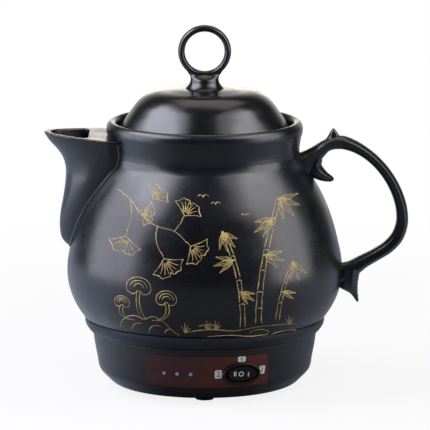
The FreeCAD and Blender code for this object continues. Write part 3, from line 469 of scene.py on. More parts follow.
spoutShape = {
    # level, reach of the front, half width, place of the full width, roundness
    "levels": [(91, 85.6, 3, 77, 0.9), (98.5, 93.4, 6, 84, 0.9), (105.2, 99.9, 9.5, 86, 0.9),
               (114, 101.5, 13, 86, 0.9), (124, 100.9, 17, 84, 0.85), (136, 98.8, 22.5, 80, 0.8),
               (147, 97.3, 27, 74, 0.7), (156, 97.2, 29.5, 68, 0.6), (163.5, 99.3, 30.6, 66, 0.45),
               (170, 104, 31.3, 66, 0.3), (175.5, 109, 31.6, 67, 0.15), (183, 113.2, 31.8, 68, 0.1)],
    "wall": 4.6,
    "back": 50,
    "turnIn": 8,              # the sides run inwards behind the neck, from this level up
    "turnFrom": 161.4,
    "neck": 66.3,
    "deck": 178.4,
    "deckRise": 2.6,
    "deckThickness": 4.2,
    "holeFront": 150,
    "holeBack": 81,
    "holeHalf": 23.4,
    "holeCorner": 9,
    "holeSpan": (104, 196),
    "channelFloor": 104,
    "channelMiddle": (-95, 0, 140),
    "channelSize": (120, 100, 110),
    "grain": 0.46,
    "softness": 14,
}
seamShape = {
    "height": 0.55,           # of the fine ridge of glaze round a joined piece
    "middle": 0.45,           # how far out from the vessel it stands
    "breadth": 0.50,
    "span": (50.8, 176),      # heights between which it runs
}


def spoutRing(level, inset, steps=16):
    z, reach, half, wide, roundness = level
    tip, side = reach - inset, half - inset
    root = side - (spoutShape["turnIn"] if z > spoutShape["turnFrom"] else 0)
    front = []
    for step in range(steps):
        s = 1 - step / steps
        bulge = 1 + roundness * (math.sqrt(2 - s * s) - 1)
        front.append((-tip + (tip - wide) * s * s, side * s * bulge, z))
    flank = easedLine([(-spoutShape["back"], root, z), front[0], front[1]], 9)[:10]
    near = flank + [Vector(spot) for spot in front[1:]]
    far = [Vector((spot.x, -spot.y, z)) for spot in reversed(near)]
    return near + [Vector((-tip, 0, z))] + far


def spoutRings(inset, low=0.0):
    # the level rings, joined up by smooth ribs and cut closer together
    rings = [spoutRing(level, inset) for level in spoutShape["levels"] if level[0] >= low]
    ribs = [easedLine([ring[j] for ring in rings], 5) for j in range(len(rings[0]))]
    return [[rib[i] for rib in ribs] for i in range(len(ribs[0]))]


def cutAbove(bm, drop):
    # takes off everything over the sloping deck
    shape = spoutShape
    slope = shape["deckRise"] / (shape["levels"][-2][1] - shape["neck"])
    spot = Vector((-shape["neck"], 0, shape["deck"] - drop)) * mm
    cut = bmesh.ops.bisect_plane(bm, geom=bm.verts[:] + bm.edges[:] + bm.faces[:], dist=0.000001,
                                 plane_co=spot, plane_no=(slope, 0, 1), clear_outer=True)
    rim = [part for part in cut["geom_cut"] if isinstance(part, bmesh.types.BMEdge)]
    bmesh.ops.contextual_create(bm, geom=rim)
    faceOut(bm)


def blocks(size, *middles):
    # a block of this size at each place
    bm = bmesh.new()
    for middle in middles or [(0, 0, 0)]:
        bmesh.ops.create_cube(bm, size=1, matrix=Matrix.Translation(Vector(middle) * mm)
                              @ Matrix.Diagonal((*(Vector(size) * mm), 1)))
    return bm


def pouringHole():
    # upright opening in front of the closed deck, its back corners rounded
    shape = spoutShape
    front, back, (low, high) = -shape["holeFront"], -shape["holeBack"], shape["holeSpan"]
    middle = ((front + back) / 2, 0, (low + high) / 2)
    bm = blocks((back - front, shape["holeHalf"] * 2, high - low), middle)
    corners = [e for e in edgesAlong(bm, 2) if e.verts[0].co.x > middle[0] * mm]
    roundOff(bm, corners, shape["holeCorner"], 10)
    return roughPiece(bm, "hole")


def makeSpout():
    shape = spoutShape
    bm = loftRings(spoutRings(0))
    cutAbove(bm, 0)
    spout = roughPiece(bm, "glazedSpout")
    # the hollow is the channel under the deck, open to the sky in front of it
    bm = blocks(shape["channelSize"], shape["channelMiddle"])
    cutAbove(bm, shape["deckThickness"])
    hollow = roughPiece(bm, "hollow")
    carve(hollow, pouringHole(), "UNION")
    inside = loftRings(spoutRings(shape["wall"], shape["channelFloor"]))
    carve(hollow, roughPiece(inside, "inside"), "INTERSECT")
    carve(spout, hollow)
    carve(spout, vesselCore())
    castSoft(spout, shape["grain"], shape["softness"])
    return spout


def seamRidgeAndHighlight(piece):
    # a fine ridge of glaze where the piece meets the vessel, marked for a painted highlight along it
    shape = seamShape
    low, high = shape["span"]
    piece.data.attributes.new("seam", "FLOAT", "POINT")
    bm = bmesh.new()
    bm.from_mesh(piece.data)
    layer = bm.verts.layers.float["seam"]
    for vert in bm.verts:
        spot = vert.co / mm
        out = math.hypot(spot.x, spot.y) - vesselRadius(spot.z)
        away = (out - shape["middle"]) / shape["breadth"]
        if abs(away) < 4 and low < spot.z < high:
            swell = math.exp(-away * away)
            vert[layer] = swell
            vert.co += vert.normal * swell * shape["height"] * mm
    bm.to_mesh(piece.data)
    bm.free()


spout = makeSpout()
seamRidgeAndHighlight(spout)
dress(spout, "base", castGlaze, ["spout"], 60)
print("spout made,", len(spout.data.polygons), "faces")


# handle

handleShape = {
    # place along X, height, thickness in the plane of the handle, width
    "limb": [(62, 153.4, 21, 20), (71, 159.2, 16.6, 19), (78.8, 166, 10.8, 16.5),
             (86.2, 171.5, 8.8, 14), (95.2, 173.1, 9.6, 13.2), (103.6, 170.6, 8.4, 13),
             (112.4, 165.6, 7.5, 13), (121.1, 158.1, 7.4, 13), (129, 148, 7.5, 13),
             (134.7, 136.7, 7.7, 13), (137.8, 125.4, 8.1, 13), (138, 115.6, 8.6, 13.2),
             (135, 106.6, 9, 13.4), (128.9, 99.5, 9.1, 13.6), (120.3, 93.8, 8.9, 14),
             (111, 88.6, 9.6, 14.6), (102.8, 83.4, 11.8, 15.8), (94.4, 80, 15.6, 17.6),
             (84, 79.4, 16.6, 18)],
    "horn": [(90.2, 171.6, 16, 9.5), (90.1, 177, 9.2, 6.8), (89.9, 180.6, 4.6, 4.2),
             (89.9, 182.9, 1.4, 1.4)],
    "thorn": [(79.8, 166.9, 8.4, 13), (76.6, 161.8, 12.2, 17), (75.4, 158, 12.8, 17.4),
              (77, 154.2, 11.8, 15.4), (80.6, 150.9, 9.4, 11.6), (85, 148.4, 6.4, 8),
              (88.6, 147.2, 4.2, 5), (90.2, 146.8, 1.6, 2)],
    # cut level: its sections lie flat, whichever way it bends
    "spike": [(100.7, 84, 17.4, 19.4), (100.3, 80, 16.6, 19.2), (100.2, 76, 15.4, 18),
              (100.3, 72.4, 14.3, 15.4), (101.1, 69.9, 12.6, 12.8), (102.9, 68, 9, 10.2),
              (104.6, 66, 5.6, 7.4), (106.1, 63, 3.3, 4.6), (107, 60.6, 2.1, 2.8),
              (107.3, 59.7, 0.9, 1.2)],
    # half of the section, as shares of thickness and width, with a crest along the side
    "section": [(0.50, 0), (0.47, 0.20), (0.36, 0.37), (0.19, 0.515), (0.02, 0.475), (-0.24, 0.43),
                (-0.42, 0.30), (-0.50, 0)],
    "crest": 3,               # which spot of the section is the crest
    "crestRound": 0.85,
    "tipRound": 0.425,
}


def limbRings(stations, level=False, cuts=8):
    path = easedLine(upright([(x, z) for x, z, deep, wide in stations]), cuts)
    sizes = easedLine([(deep, wide, 0) for x, z, deep, wide in stations], cuts)
    half = [Vector((u, v, 0)) for u, v in handleShape["section"]]
    crest = handleShape["crest"]
    outer = easedLine(half[:crest + 1], 3, (0, 1, 0))
    section = wholeSection(outer + easedLine(half[crest:], 3, None, (0, -1, 0))[1:])
    rings = []
    for i, (spot, size) in enumerate(zip(path, sizes)):
        along = (path[min(i + 1, len(path) - 1)] - path[max(i - 1, 0)]).normalized()
        out = Vector((1, 0, 0)) if level else square(along)
        rings.append([spot + out * share.x * size.x + Vector((0, share.y * size.y, 0))
                      for share in section])
    return rings


def makeHandle():
    shape = handleShape
    parts = []
    for part in ("limb", "horn", "thorn", "spike"):
        bm = loftRings(limbRings(shape[part], part == "spike"))
        easeEdges(bm, shape["crestRound" if part == "limb" else "tipRound"], 42)
        parts.append(roughPiece(bm, "glazedHandle"))
    handle = parts[0]
    for part in parts[1:]:
        carve(handle, part, "UNION")
    carve(handle, vesselCore())
    return dress(handle, "base", castGlaze, ["handle"], 46)


handle = makeHandle()
print("handle made,", len(handle.data.polygons), "faces")


# lid and its ring

lidShape = {
    "dome": [(57.8, 185.6), (55.2, 190.2), (50.9, 196.4), (46.7, 201.8), (38.4, 207.9), (24, 210.6),
             (0, 211.5)],
    "wall": 4.6,
    "edge": [(59.4, 183.5), (59.4, 181.3), (54.4, 181.3), (54.4, 173), (50.6, 173), (50.6, 183.3)],
    "edgeRound": 0.6,
    "ventReach": 37.5,
    "ventAzimuth": 163,
    "ventRadius": 2.2,
    "ventLevel": 205,
}
ringShape = {
    "centre": 237.2,
    "radius": 16.15,
    "section": [(2.35, 0), (2.1, 1.65), (1.2, 3.15), (0, 3.7), (-1.2, 3.15), (-2.1, 1.65), (-2.35, 0)],
    # level, half width along the ring, half width across it
    "stem": [(208.6, 16.6, 16.4), (210.8, 14.4, 14.3), (212.4, 12.5, 12.4), (213.8, 11.3, 11.2),
             (215.9, 10.1, 10), (217.8, 9.8, 9.1), (219.2, 9.95, 7.4), (220.4, 10.4, 5.2),
             (221.6, 11.2, 3.6), (223.4, 12.5, 3.3), (226, 14, 3)],
    "grain": 0.27,
    "softness": 9,
}


def makeLid():
    shape = lidShape
    dome = easedLine(upright(shape["dome"]), 8, (-0.3, 0, 0.95), (-1, 0, 0))
    ceiling = wallInside(dome, shape["wall"])
    top = Vector((0, 0, shape["dome"][-1][1] - shape["wall"]))
    bm = spinOutline(dome[::-1] + upright(shape["edge"]) + ceiling + [top], 160)
    easeEdges(bm, shape["edgeRound"])
    lid = roughPiece(bm, "glazedLid")
    turn = math.radians(shape["ventAzimuth"])
    reach = shape["ventReach"]
    spot = Vector((math.cos(turn) * reach, math.sin(turn) * reach, shape["ventLevel"])) * mm
    bm = bmesh.new()
    addPin(bm, shape["ventRadius"], 40, Matrix.Translation(spot), 40)
    carve(lid, roughPiece(bm, "vent"))
    return dress(lid, "lid", lidGlaze, ["lid"], 40)


def makeLidRing():
    shape = ringShape
    half = easedLine([Vector((r, y, 0)) for r, y in shape["section"]], 3, (0, 1, 0), (0, -1, 0))
    loop = [spot + Vector((shape["radius"], 0, 0)) for spot in wholeSection(half)]
    ring = roughPiece(spinOutline(loop, 144, True, (0, 1, 0)), "glazedRing")
    middle = Matrix.Translation((0, 0, shape["centre"] * mm))
    ring.data.transform(middle)
    rings = []
    for z, along, across in easedLine(shape["stem"], 4):
        turns = [math.tau * n / 64 for n in range(64)]
        rings.append([Vector((math.cos(t) * along, math.sin(t) * across, z)) for t in turns])
    stem = roughPiece(loftRings(rings), "stem")
    # the stem is cleared out of the finger hole before the two are joined
    bm = bmesh.new()
    addPin(bm, shape["radius"], 60, middle @ aboutX, 144)
    carve(stem, roughPiece(bm, "finger"))
    carve(ring, stem, "UNION")
    castSoft(ring, shape["grain"], shape["softness"])
    return dress(ring, "lid", ringGlaze, ["lid_knob"], 60)


makeLid()
makeLidRing()
print("lid and ring made")


# gold line work on the belly

brushwork = {
    "lineRadius": 0.40,       # half the width of a full stroke
    "sunk": 0.17,             # how deep its centre lies in the glaze
    "stalks": [
        # path of a bamboo stalk, half its width
        ([(37, 60), (38, 84), (42.5, 112), (51, 143)], 1.9),
        ([(26, 58), (25, 82), (20.5, 104), (12.5, 124)], 1.5),
        ([(50, 61), (53.5, 82), (60.5, 101)], 1.2),
    ],
    "stalkJoint": 15,
    "leaves": [
        # where a spray of bamboo leaves hangs, its middle direction, count, leaf length
        (51, 143, -35, 4, 17), (47, 131, -150, 3, 15), (41.5, 108, -20, 3, 14),
        (12.5, 124, -62, 4, 13.5), (19.5, 106, -165, 3, 14), (60.5, 101, -70, 3, 14),
        (25, 84, -35, 3, 11), (53.5, 82, -25, 2, 10),
    ],
    "branch": [(-60, 148), (-51, 143), (-42.5, 133.5), (-32, 127.5), (-20.5, 125), (-13, 118.5)],
    "twigs": [[(-51, 143), (-50, 133), (-53, 124)], [(-42.5, 133.5), (-37, 141.5)],
              [(-32, 127.5), (-33, 119), (-30, 111)], [(-20.5, 125), (-15.5, 131.5)]],
    "fans": [
        # foot of a ginkgo leaf, direction, size
        (-53, 124, -100, 12.5), (-37, 141.5, 55, 10), (-30, 111, -62, 13),
        (-15.5, 131.5, 62, 11), (-13, 118.5, -40, 12), (-46, 137.5, -20, 9),
    ],
    "caps": [
        # middle of a mushroom cap, width, height, foot of its stem
        (-45, 86, 17, 7.5, (-42, 64)), (-26, 79, 14, 6.5, (-34, 63)),
        (-56.5, 74, 10.5, 5, (-49, 62)),
    ],
    "rock": [
        [(-58, 55), (-55, 62), (-48, 65.5), (-41, 63.5), (-36, 66), (-28, 62.5), (-22, 56),
         (-17, 52.5)],
        [(-50, 54), (-47.5, 59), (-43, 60)], [(-38, 53), (-35.5, 58.5), (-30, 59)],
        [(-27, 53.5), (-25.5, 56.5), (-22.5, 57)],
    ],
    "ground": [
        [(-12, 55), (4, 57.5), (20, 56), (38, 58), (62, 56.5)],
        [(2, 51.5), (18, 52.5), (34, 50.5), (44, 53), (39, 55.5), (31, 53.8)],
        [(46, 50.5), (55, 51.8), (63, 50.4)], [(-4, 60), (3, 61.2), (10, 60.2)],
    ],
    "grass": [(2, 57), (8, 56.8), (58, 56.6), (-13, 54.6)],
    "birds": [(-1, 147, 3.4), (7.5, 142.5, 2.8), (28, 134.5, 2.6)],
}


def heading(degrees):
    return Vector((math.cos(math.radians(degrees)), 0, math.sin(math.radians(degrees))))


def bambooLines(path, half):
    # two sides of each length between joints, and a lip at every joint
    line = easedLine(upright(path), 29)
    count = max(2, round((line[-1] - line[0]).length / brushwork["stalkJoint"]))
    lines = []
    for n in range(count):
        spots = [round((len(line) - 1) * (n + share) / count) for share in (0.05, 0.35, 0.65, 0.95)]
        part = [line[spot] for spot in spots]
        along = (part[-1] - part[0]).normalized()
        side = square(along) * half * (1 - 0.35 * n / count)
        for edge in (side, -side):
            lines.append([part[0] + edge * 1.18] + [spot + edge for spot in part[1:-1]]
                         + [part[-1] + edge * 1.14])
        lines.append([part[-1] - side * 1.3, part[-1] + along * 0.6, part[-1] + side * 1.3])
    return lines


def leafLines(foot, direction, length, width):
    along = heading(direction) * length
    side = square(heading(direction)) * width / 2
    lines = [[foot, foot + along * 0.3 + edge, foot + along * 0.7 + edge * 0.62, foot + along]
             for edge in (side, -side)]
    rib = [foot - heading(direction) * 1.5, foot + along * 0.35 + side * 0.1, foot + along * 0.8]
    return lines + [rib]


def fanLines(foot, direction, size):
    # ginkgo leaf: a stalk, two straight sides, ribs and a waved rim with a cleft
    def reach(turn, share):
        return heading(direction + turn) * size * share
    heart = foot + reach(0, 0.38)
    rim = [heart + reach(step * 10.5, 0.98 + 0.06 * math.cos(step * 2.1) - (0.30 if step == 0 else 0))
           for step in range(-6, 7)]
    lines = [[foot, foot + reach(0, 0.2) + heading(direction + 90) * 0.4, heart],
             [heart, heart + reach(-58, 0.45), rim[0]], [heart, heart + reach(58, 0.45), rim[-1]],
             rim[:7], rim[6:]]
    for turn in (-42, -24, -9, 9, 24, 42):
        lines.append([heart + reach(turn, 0.22), heart + reach(turn * 0.9, 0.55),
                      heart + reach(turn, 0.82)])
    return lines


def capLines(x, z, wide, high, foot):
    # mushroom cap with growth rings, its curled underside, and a bent stem
    def arc(share, low=200, top=-20):
        turns = [math.radians(turn) for turn in range(low, top - 1, -20)]
        return upright([(x + math.cos(t) * wide / 2 * share, z + math.sin(t) * high * share * 0.95)
                        for t in turns])
    curl = ((-0.47, 0.32), (-0.2, 0.62), (0, 0.30), (0.2, 0.62), (0.47, 0.32))
    under = upright([(x + wide * across, z - high * down) for across, down in curl])
    lines = [arc(1.0), under, arc(0.68, 180, 0), arc(0.38, 180, 0)]
    foot, top = upright([foot, (x, z - high * 0.42)])
    bend = (foot + top) / 2 + Vector(((top.x - foot.x) * 0.5, 0, -2.0))
    for way in (1, -1):
        off = Vector((way * 1.15, 0, 0))
        lines.append([top + off, bend + off, foot + off * 1.5])
    return lines


def birdLines(x, z, size):
    wings = [[(-1, 0.25), (-0.45, 0.5), (0, 0)], [(0, 0), (0.5, 0.55), (1.1, 0.2)]]
    return [upright([(x + size * u, z + size * v) for u, v in wing]) for wing in wings]


def pictureLines():
    work = brushwork
    lines = []
    for path, half in work["stalks"]:
        lines += bambooLines(path, half)
    for x, z, direction, count, length in work["leaves"]:
        for n in range(count):
            out = n - (count - 1) / 2
            reach = length * (1 - 0.13 * abs(out))
            lines += leafLines(Vector((x, 0, z)), direction + out * 27, reach, reach * 0.20)
    lines += [upright(work["branch"])] + [upright(twig) for twig in work["twigs"]]
    for x, z, direction, size in work["fans"]:
        lines += fanLines(Vector((x, 0, z)), direction, size)
    for x, z, wide, high, foot in work["caps"]:
        lines += capLines(x, z, wide, high, foot)
    lines += [upright(line) for line in work["rock"] + work["ground"]]
    for x, z in work["grass"]:
        for lean, tall in ((-2.6, 5.0), (-0.6, 7.5), (1.8, 6.0), (3.4, 3.6)):
            blade = [(x + lean * 0.2, z), (x + lean * 0.5, z + tall * 0.6), (x + lean, z + tall)]
            lines.append(upright(blade))
    for x, z, size in work["birds"]:
        lines += birdLines(x, z, size)
    return lines


def makeBrushwork():
    curve = bpy.data.curves.new("brushwork", "CURVE")
    curve.dimensions = "3D"
    curve.bevel_depth = brushwork["lineRadius"] * mm
    curve.bevel_resolution = 2
    curve.use_fill_caps = True
    for line in pictureLines():
        line = easedLine(line, 6)
        spline = curve.splines.new("POLY")
        spline.points.add(len(line) - 1)
        for n, (point, spot) in enumerate(zip(spline.points, line)):
            out = vesselRadius(spot.z) - brushwork["sunk"]
            y = -math.sqrt(max(out * out - spot.x * spot.x, 0))
            point.co = (spot.x * mm, y * mm, spot.z * mm, 1)
            # a stroke swells soon after its start and thins out towards its end
            share = n / (len(line) - 1)
            swell = math.sin(math.pi * min(share * 1.25 + 0.1, 1))
            point.radius = 0.55 + 0.45 * swell + 0.1 * math.sin(share * 9)
    strokes = roughPiece(faceOut(curveShape(curve)), "brushwork")
    return dress(strokes, "base", goldEnamel, sharpness=70)


drawing = makeBrushwork()
print("gold line work drawn,", len(drawing.data.polygons), "faces")


# marks on the panel and the rocker

prints = {
    # plate: place round the wall in degrees, height, width, height of the plate, number on it
    "plates": [(7.13, 23.4, 5, 6, "2"), (19.2, 33.75, 5.6, 3.9, "0"), (31.2, 24.6, 4.5, 5.9, "1")],
    "plateCorner": 1.1,
    "plateProud": 0.12,
    "numberSize": 0.975,      # as a share of the plate's height
    "numberProud": 0.08,
    # rocker mark: place, height, strokes
    "marks": [(15.7, 23.5, "two"), (19.05, 23.2, "ring"), (22.9, 22.6, "one")],
    "stroke": (0.62, 0.28, 3.3),
    "strokeGap": 0.62,
    "ring": [(1.25, 0.14), (1.85, 0.14), (1.85, -0.14), (1.25, -0.14)],
}
plateWhite = mouldedPlastic("plate white", (0.62, 0.62, 0.63), 0.38, 2600, 0.05)
numberInk = mouldedPlastic("number ink", (0.018, 0.016, 0.030), 0.45, 2600, 0.05)


def bearingTurn(angle):
    return toAxis @ Matrix.Rotation(math.radians(angle), 4, "Z")


def wallSpot(node, turn, x, z, sunk=0):
    # where a level line from outside meets the node's face, or a little deeper
    inward = turn.to_3x3() @ Vector((0, 1, 0))
    hit, spot, normal, index = nodes[node].ray_cast(turn @ Vector((x, -0.1, z)), inward)
    return spot + inward * sunk if hit else None


def layOn(bm, angle, z, node):
    # stands flat work, drawn in XZ with -Y outwards, on the face of a base part
    turn = bearingTurn(angle)
    for vert in bm.verts:
        at = (turn, vert.co.x, vert.co.z + z * mm, vert.co.y)
        vert.co = wallSpot(node, *at) or wallSpot("base_shell", *at)     # past the film's edge


def makePlate(n, angle, z, wide, high, number):
    shape = prints
    bm = blocks((wide, shape["plateProud"] * 2, high))
    roundOff(bm, edgesAlong(bm, 1, 0.01), shape["plateCorner"], 6)
    easeEdges(bm, 0.05, 60, 1)
    layOn(bm, angle, z, "control_panel")
    dress(roughPiece(bm, "plate" + str(n)), "base", plateWhite, place=Matrix())
    curve = bpy.data.curves.new("number", "FONT")
    curve.body = number
    curve.size = high * shape["numberSize"] * mm
    curve.align_x = curve.align_y = "CENTER"
    curve.extrude = shape["numberProud"] * mm
    bm = curveShape(curve, Matrix.Translation((0, -shape["plateProud"] * mm, 0)) @ aboutX)
    bmesh.ops.remove_doubles(bm, verts=bm.verts, dist=0.000001)
    layOn(faceOut(bm), angle, z, "control_panel")
    dress(roughPiece(bm, "number" + number), "base", numberInk, place=Matrix())


def makeMark(n, angle, z, kind):
    if kind == "ring":
        bm = spinOutline(upright(prints["ring"]), 40, True)
        bmesh.ops.rotate(bm, verts=bm.verts, cent=(0, 0, 0), matrix=aboutX.to_3x3())
    else:
        gap = prints["strokeGap"] if kind == "two" else 0
        bm = blocks(prints["stroke"], *([(-gap, 0, 0), (gap, 0, 0)] if gap else []))
        bmesh.ops.subdivide_edges(bm, edges=bm.edges, cuts=2, use_grid_fill=True)
    layOn(bm, angle, z, "switch_rocker")
    mark = roughPiece(bm, "rockerMark" + str(n))
    dress(mark, "rocker", plateWhite, place=Matrix())


for n, plate in enumerate(prints["plates"]):
    makePlate(n, *plate)
for n, mark in enumerate(prints["marks"]):
    makeMark(n, *mark)
print("panel and rocker marked")


# finishes of the base and of everything inside it

def lacquer(name, left, right, rough):
    # printed film, redder towards the switch
    material, tree, shader = newFinish(name, IOR=1.5)
    place = put(tree, "TexCoord").outputs["Object"]
    across = put(tree, "SeparateXYZ", {0: place}).outputs["X"]
    toned = mixColour(tree, spread(tree, across, 0.0, 1.0, -0.03, 0.05), left, right)
    cloud = mottle(tree, 0.0, 0.25, 60, 3, 0.5)
    feed(tree, shader, mixColour(tree, cloud, toned, shade(left, 0.7)),
         mottle(tree, rough - 0.02, rough + 0.04, 90, 2))
    relief(tree, shader, grainField(tree, 500, 1), 0.03, 0.03)
    return material


basePlastic = mouldedPlastic("matt black casing", (0.0085, 0.0090, 0.0105), 0.36, 1600, 0.16, IOR=1.6)
collarPlastic = mouldedPlastic("collar casing", (0.0120, 0.0150, 0.0240), 0.40, 1600, 0.14, IOR=1.55)
coverPlastic = mouldedPlastic("cover casing", (0.012, 0.012, 0.013), 0.5, 1300, 0.22)
panelLacquer = lacquer("red brown lacquer", (0.050, 0.0200, 0.0190), (0.125, 0.0260, 0.0120), 0.30)
panelFilm = {
    "corner": 2.4,
    "thickness": 0.6,
    "trim": 0.02,                 # cut off all round
    "margin": 0.3,                # the wall is measured at least this far inside the panel
    "clearBearing": -28,          # where it is measured, free of openings
    "cuts": ((0, 71), (2, 15)),   # along the length and up the height
    "level": 23.6,
    "lamps": (-21.4, -14.3, -7.2),
    "lampHole": (1.45, 1.45),
    "switch": 19.5,
    "switchHole": (11.8, 7),
}


def wallRadius(z):
    spot = wallSpot("control_panel", bearingTurn(panelFilm["clearBearing"]), 0, z)
    return math.hypot(spot.x - axisX, spot.y)


def makePanel():
    # a flat film with its openings, then wrapped round the wall of the base
    shape = panelFilm
    low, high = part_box("control_panel")
    middle = (low + high) / 2
    wide, tall = (high.x - low.x) / mm, (high.z - low.z) / mm
    bm = blocks((wide, shape["thickness"], tall))
    for axis, cuts in shape["cuts"]:
        bmesh.ops.subdivide_edges(bm, edges=edgesAlong(bm, axis), cuts=cuts, use_grid_fill=True)
    film = roughPiece(bm, "panelFilm")
    bm = blocks((wide - shape["trim"], 3, tall - shape["trim"]))
    roundOff(bm, edgesAlong(bm, 1, 1), shape["corner"], 10)
    carve(film, roughPiece(bm, "window"), "INTERSECT")
    holes = bmesh.new()
    face = wallRadius(shape["level"] * mm)
    openings = [(angle, *shape["lampHole"]) for angle in shape["lamps"]]
    for angle, across, up in openings + [(shape["switch"], *shape["switchHole"])]:
        x = axisX + face * math.sin(math.radians(angle)) - middle.x
        place = Matrix.Translation((x, 0, shape["level"] * mm - middle.z))
        addPin(holes, 1, 4, place @ Matrix.Diagonal((across, 1, up, 1)) @ aboutX, 48)
    carve(film, roughPiece(holes, "openings"))
    margin = shape["margin"] * mm
    for vert in film.data.vertices:
        x, z = vert.co.x + middle.x - axisX, vert.co.z + middle.z
        wall = wallRadius(min(max(z, low.z + margin), high.z - margin))
        face = wall - (shape["thickness"] / 2 * mm + vert.co.y)
        vert.co = (x, -math.sqrt(face * face - x * x), z)
    return dress(film, "base", panelLacquer, ["control_panel"])


makePanel()
switchGloss = mouldedPlastic("switch black", (0.006, 0.006, 0.007), 0.16, 2600, 0.05)
lampLens = mouldedPlastic("lavender lens", (0.36, 0.31, 0.52), 0.18, 2200, 0.08,
                          Transmission_Weight=0.25)
lampBody = mouldedPlastic("clear lamp", (0.80, 0.36, 0.30), 0.12, 2200, 0.05, Transmission_Weight=0.5)
# lighter than the casing: a painted highlight along the casing's top edge
seamHighlightPlastic = mouldedPlastic("seam edge painted highlight", (0.030, 0.030, 0.033), 0.24, 1600, 0.05)
boardLaminate = mouldedPlastic("board laminate", (0.035, 0.16, 0.06), 0.34, 3200, 0.10)
footRubber = mouldedPlastic("foot rubber", (0.016, 0.016, 0.017), 0.72, 1100, 0.35)
sealSilicone = mouldedPlastic("seal silicone", (0.48, 0.46, 0.42), 0.55, 900, 0.12)
fuseSleeve = mouldedPlastic("woven sleeve", (0.72, 0.70, 0.62), 0.8, 1800, 0.6)
inletPlastic = mouldedPlastic("inlet casing", (0.010, 0.010, 0.011), 0.42, 1500, 0.16)
castAlloy = metalFinish("turned alloy", (0.66, 0.66, 0.67), 0.36, 220, 0.2, (1, 1, 14))
sheathSteel = metalFinish("heater sheath", (0.22, 0.21, 0.20), 0.45, 500, 0.3)
zincSteel = metalFinish("zinc plate", (0.60, 0.61, 0.62), 0.30, 380, 0.12)
contactBrass = metalFinish("contact brass", (0.72, 0.52, 0.22), 0.24, 300, 0.10, (8, 1, 1))

casingSeam = {
    "radius": 78.45,
    "level": 40.0,
    "bead": 0.42,
}


def makeCasingSeam():
    # rounded top edge of the casing, where the collar sits on it, in a lighter plastic that paints a
    # highlight along it
    radius, level, bead = (casingSeam[key] for key in ("radius", "level", "bead"))
    turns = [math.tau * n / 10 for n in range(10)]
    loop = upright([(radius + math.cos(t) * bead, level + math.sin(t) * bead) for t in turns])
    seam = roughPiece(spinOutline(loop, 192, True), "casingSeam")
    return dress(seam, "base", seamHighlightPlastic, sharpness=80)


makeCasingSeam()
nodeFinish = {
    stonewareGlaze: ["pot_body", "spout", "handle"],
    lidGlaze: ["lid", "lid_knob"],
    collarPlastic: ["collar_ring"],
    basePlastic: ["base_shell", "power_diode"],
    coverPlastic: ["bottom_cover"],
    panelLacquer: ["control_panel"],
    switchGloss: ["switch_body", "switch_rocker"],
    lampLens: ["indicator_lenses"],
    lampBody: ["indicator_leds"],
    boardLaminate: ["led_board"],
    footRubber: ["rubber_feet"],
    sealSilicone: ["seat_seal"],
    fuseSleeve: ["thermal_fuse"],
    inletPlastic: ["inlet_housing"],
    castAlloy: ["heat_plate"],
    sheathSteel: ["heating_element"],
    zincSteel: ["cover_screws", "collar_screws", "clamp_bar", "clamp_screws", "heat_shield",
                "shield_spacers", "shield_screws", "thermostat", "thermostat_screws", "fuse_clip",
                "fuse_screw", "board_screws", "inlet_screws", "inlet_nuts"],
    contactBrass: ["switch_terminals", "inlet_pins", "earth_lug"],
}
wireColours = {
    "wire_live": (0.10, 0.035, 0.012),
    "wire_neutral": (0.010, 0.045, 0.22),
    "wire_earth": (0.16, 0.30, 0.012),
    "wire_high": (0.34, 0.010, 0.008),
    "wire_low": (0.66, 0.66, 0.62),
    "wire_return": (0.012, 0.050, 0.20),
    "wire_fuse": (0.012, 0.050, 0.20),
    "indicator_wires": (0.62, 0.62, 0.60),
}


def finishNode(name, material):
    for slot in nodes[name].material_slots:
        slot.material = material


for material, names in nodeFinish.items():
    for name in names:
        finishNode(name, material)
for name, colour in wireColours.items():
    finishNode(name, mouldedPlastic(name.replace("_", " ") + " insulation", colour, 0.5, 900, 0.12))
print("casing and inner parts finished")


# stage, light and camera

stage = {
    "floorSize": 3.2,
    "floorColour": (0.12, 0.12, 0.125),
    "cameraLift": 0.85,           # added for the camera alone, so the paper is white to it
    "fade": (0.26, 0.70),         # distances over which the paper loses its shadow
    "mirrorLift": 0.66,           # added for reflections alone, beside and behind the pot
    "mirrorTint": (0.68, 0.77, 1.0),
    "mirrorFrom": (-0.88, -0.10),  # how far round from the front it comes in
    "mirrorRight": 0.42,          # its share on the right
    "frontDark": (0.035, 0.036, 0.040),
    "backWhite": (1.0, 0.97, 0.91),
    "backFrom": (0.80, 0.99),     # how far round the white starts, and the height at which it fades
    "backRise": (0.16, 0.62),
    "backHigh": 0.22,
}
lamps = {
    # bearing from the front in degrees, height angle, distance, width, height, radiance, colour
    "left": (-86, 27, 1.25, 1.30, 1.55, 2.4, (0.85, 0.86, 1.0)),
    "leftHigh": (-80, 50, 1.20, 1.15, 0.70, 2.3, (0.87, 0.88, 1.0)),
    "right": (77, 25, 1.25, 0.95, 1.40, 1.95, (0.98, 0.97, 1.0)),
    "rightHigh": (66, 52, 1.20, 1.00, 0.60, 1.2, (0.97, 0.96, 1.0)),
    "top": (170, 72, 1.30, 1.00, 0.80, 0.9, (1.0, 0.94, 0.84)),
    "backLow": (180, 9, 1.40, 0.55, 0.26, 2.2, (1.0, 0.93, 0.80)),
    "fill": (0, 28, 1.70, 1.10, 1.10, 3.0, (1.0, 0.99, 0.98)),
}
camera = {
    "aim": (0.00721, 0, 0.1215),      # from the pot's axis
    "place": (0.00721, -3.44683, 0.72927),
    "lens": 418.6,
}


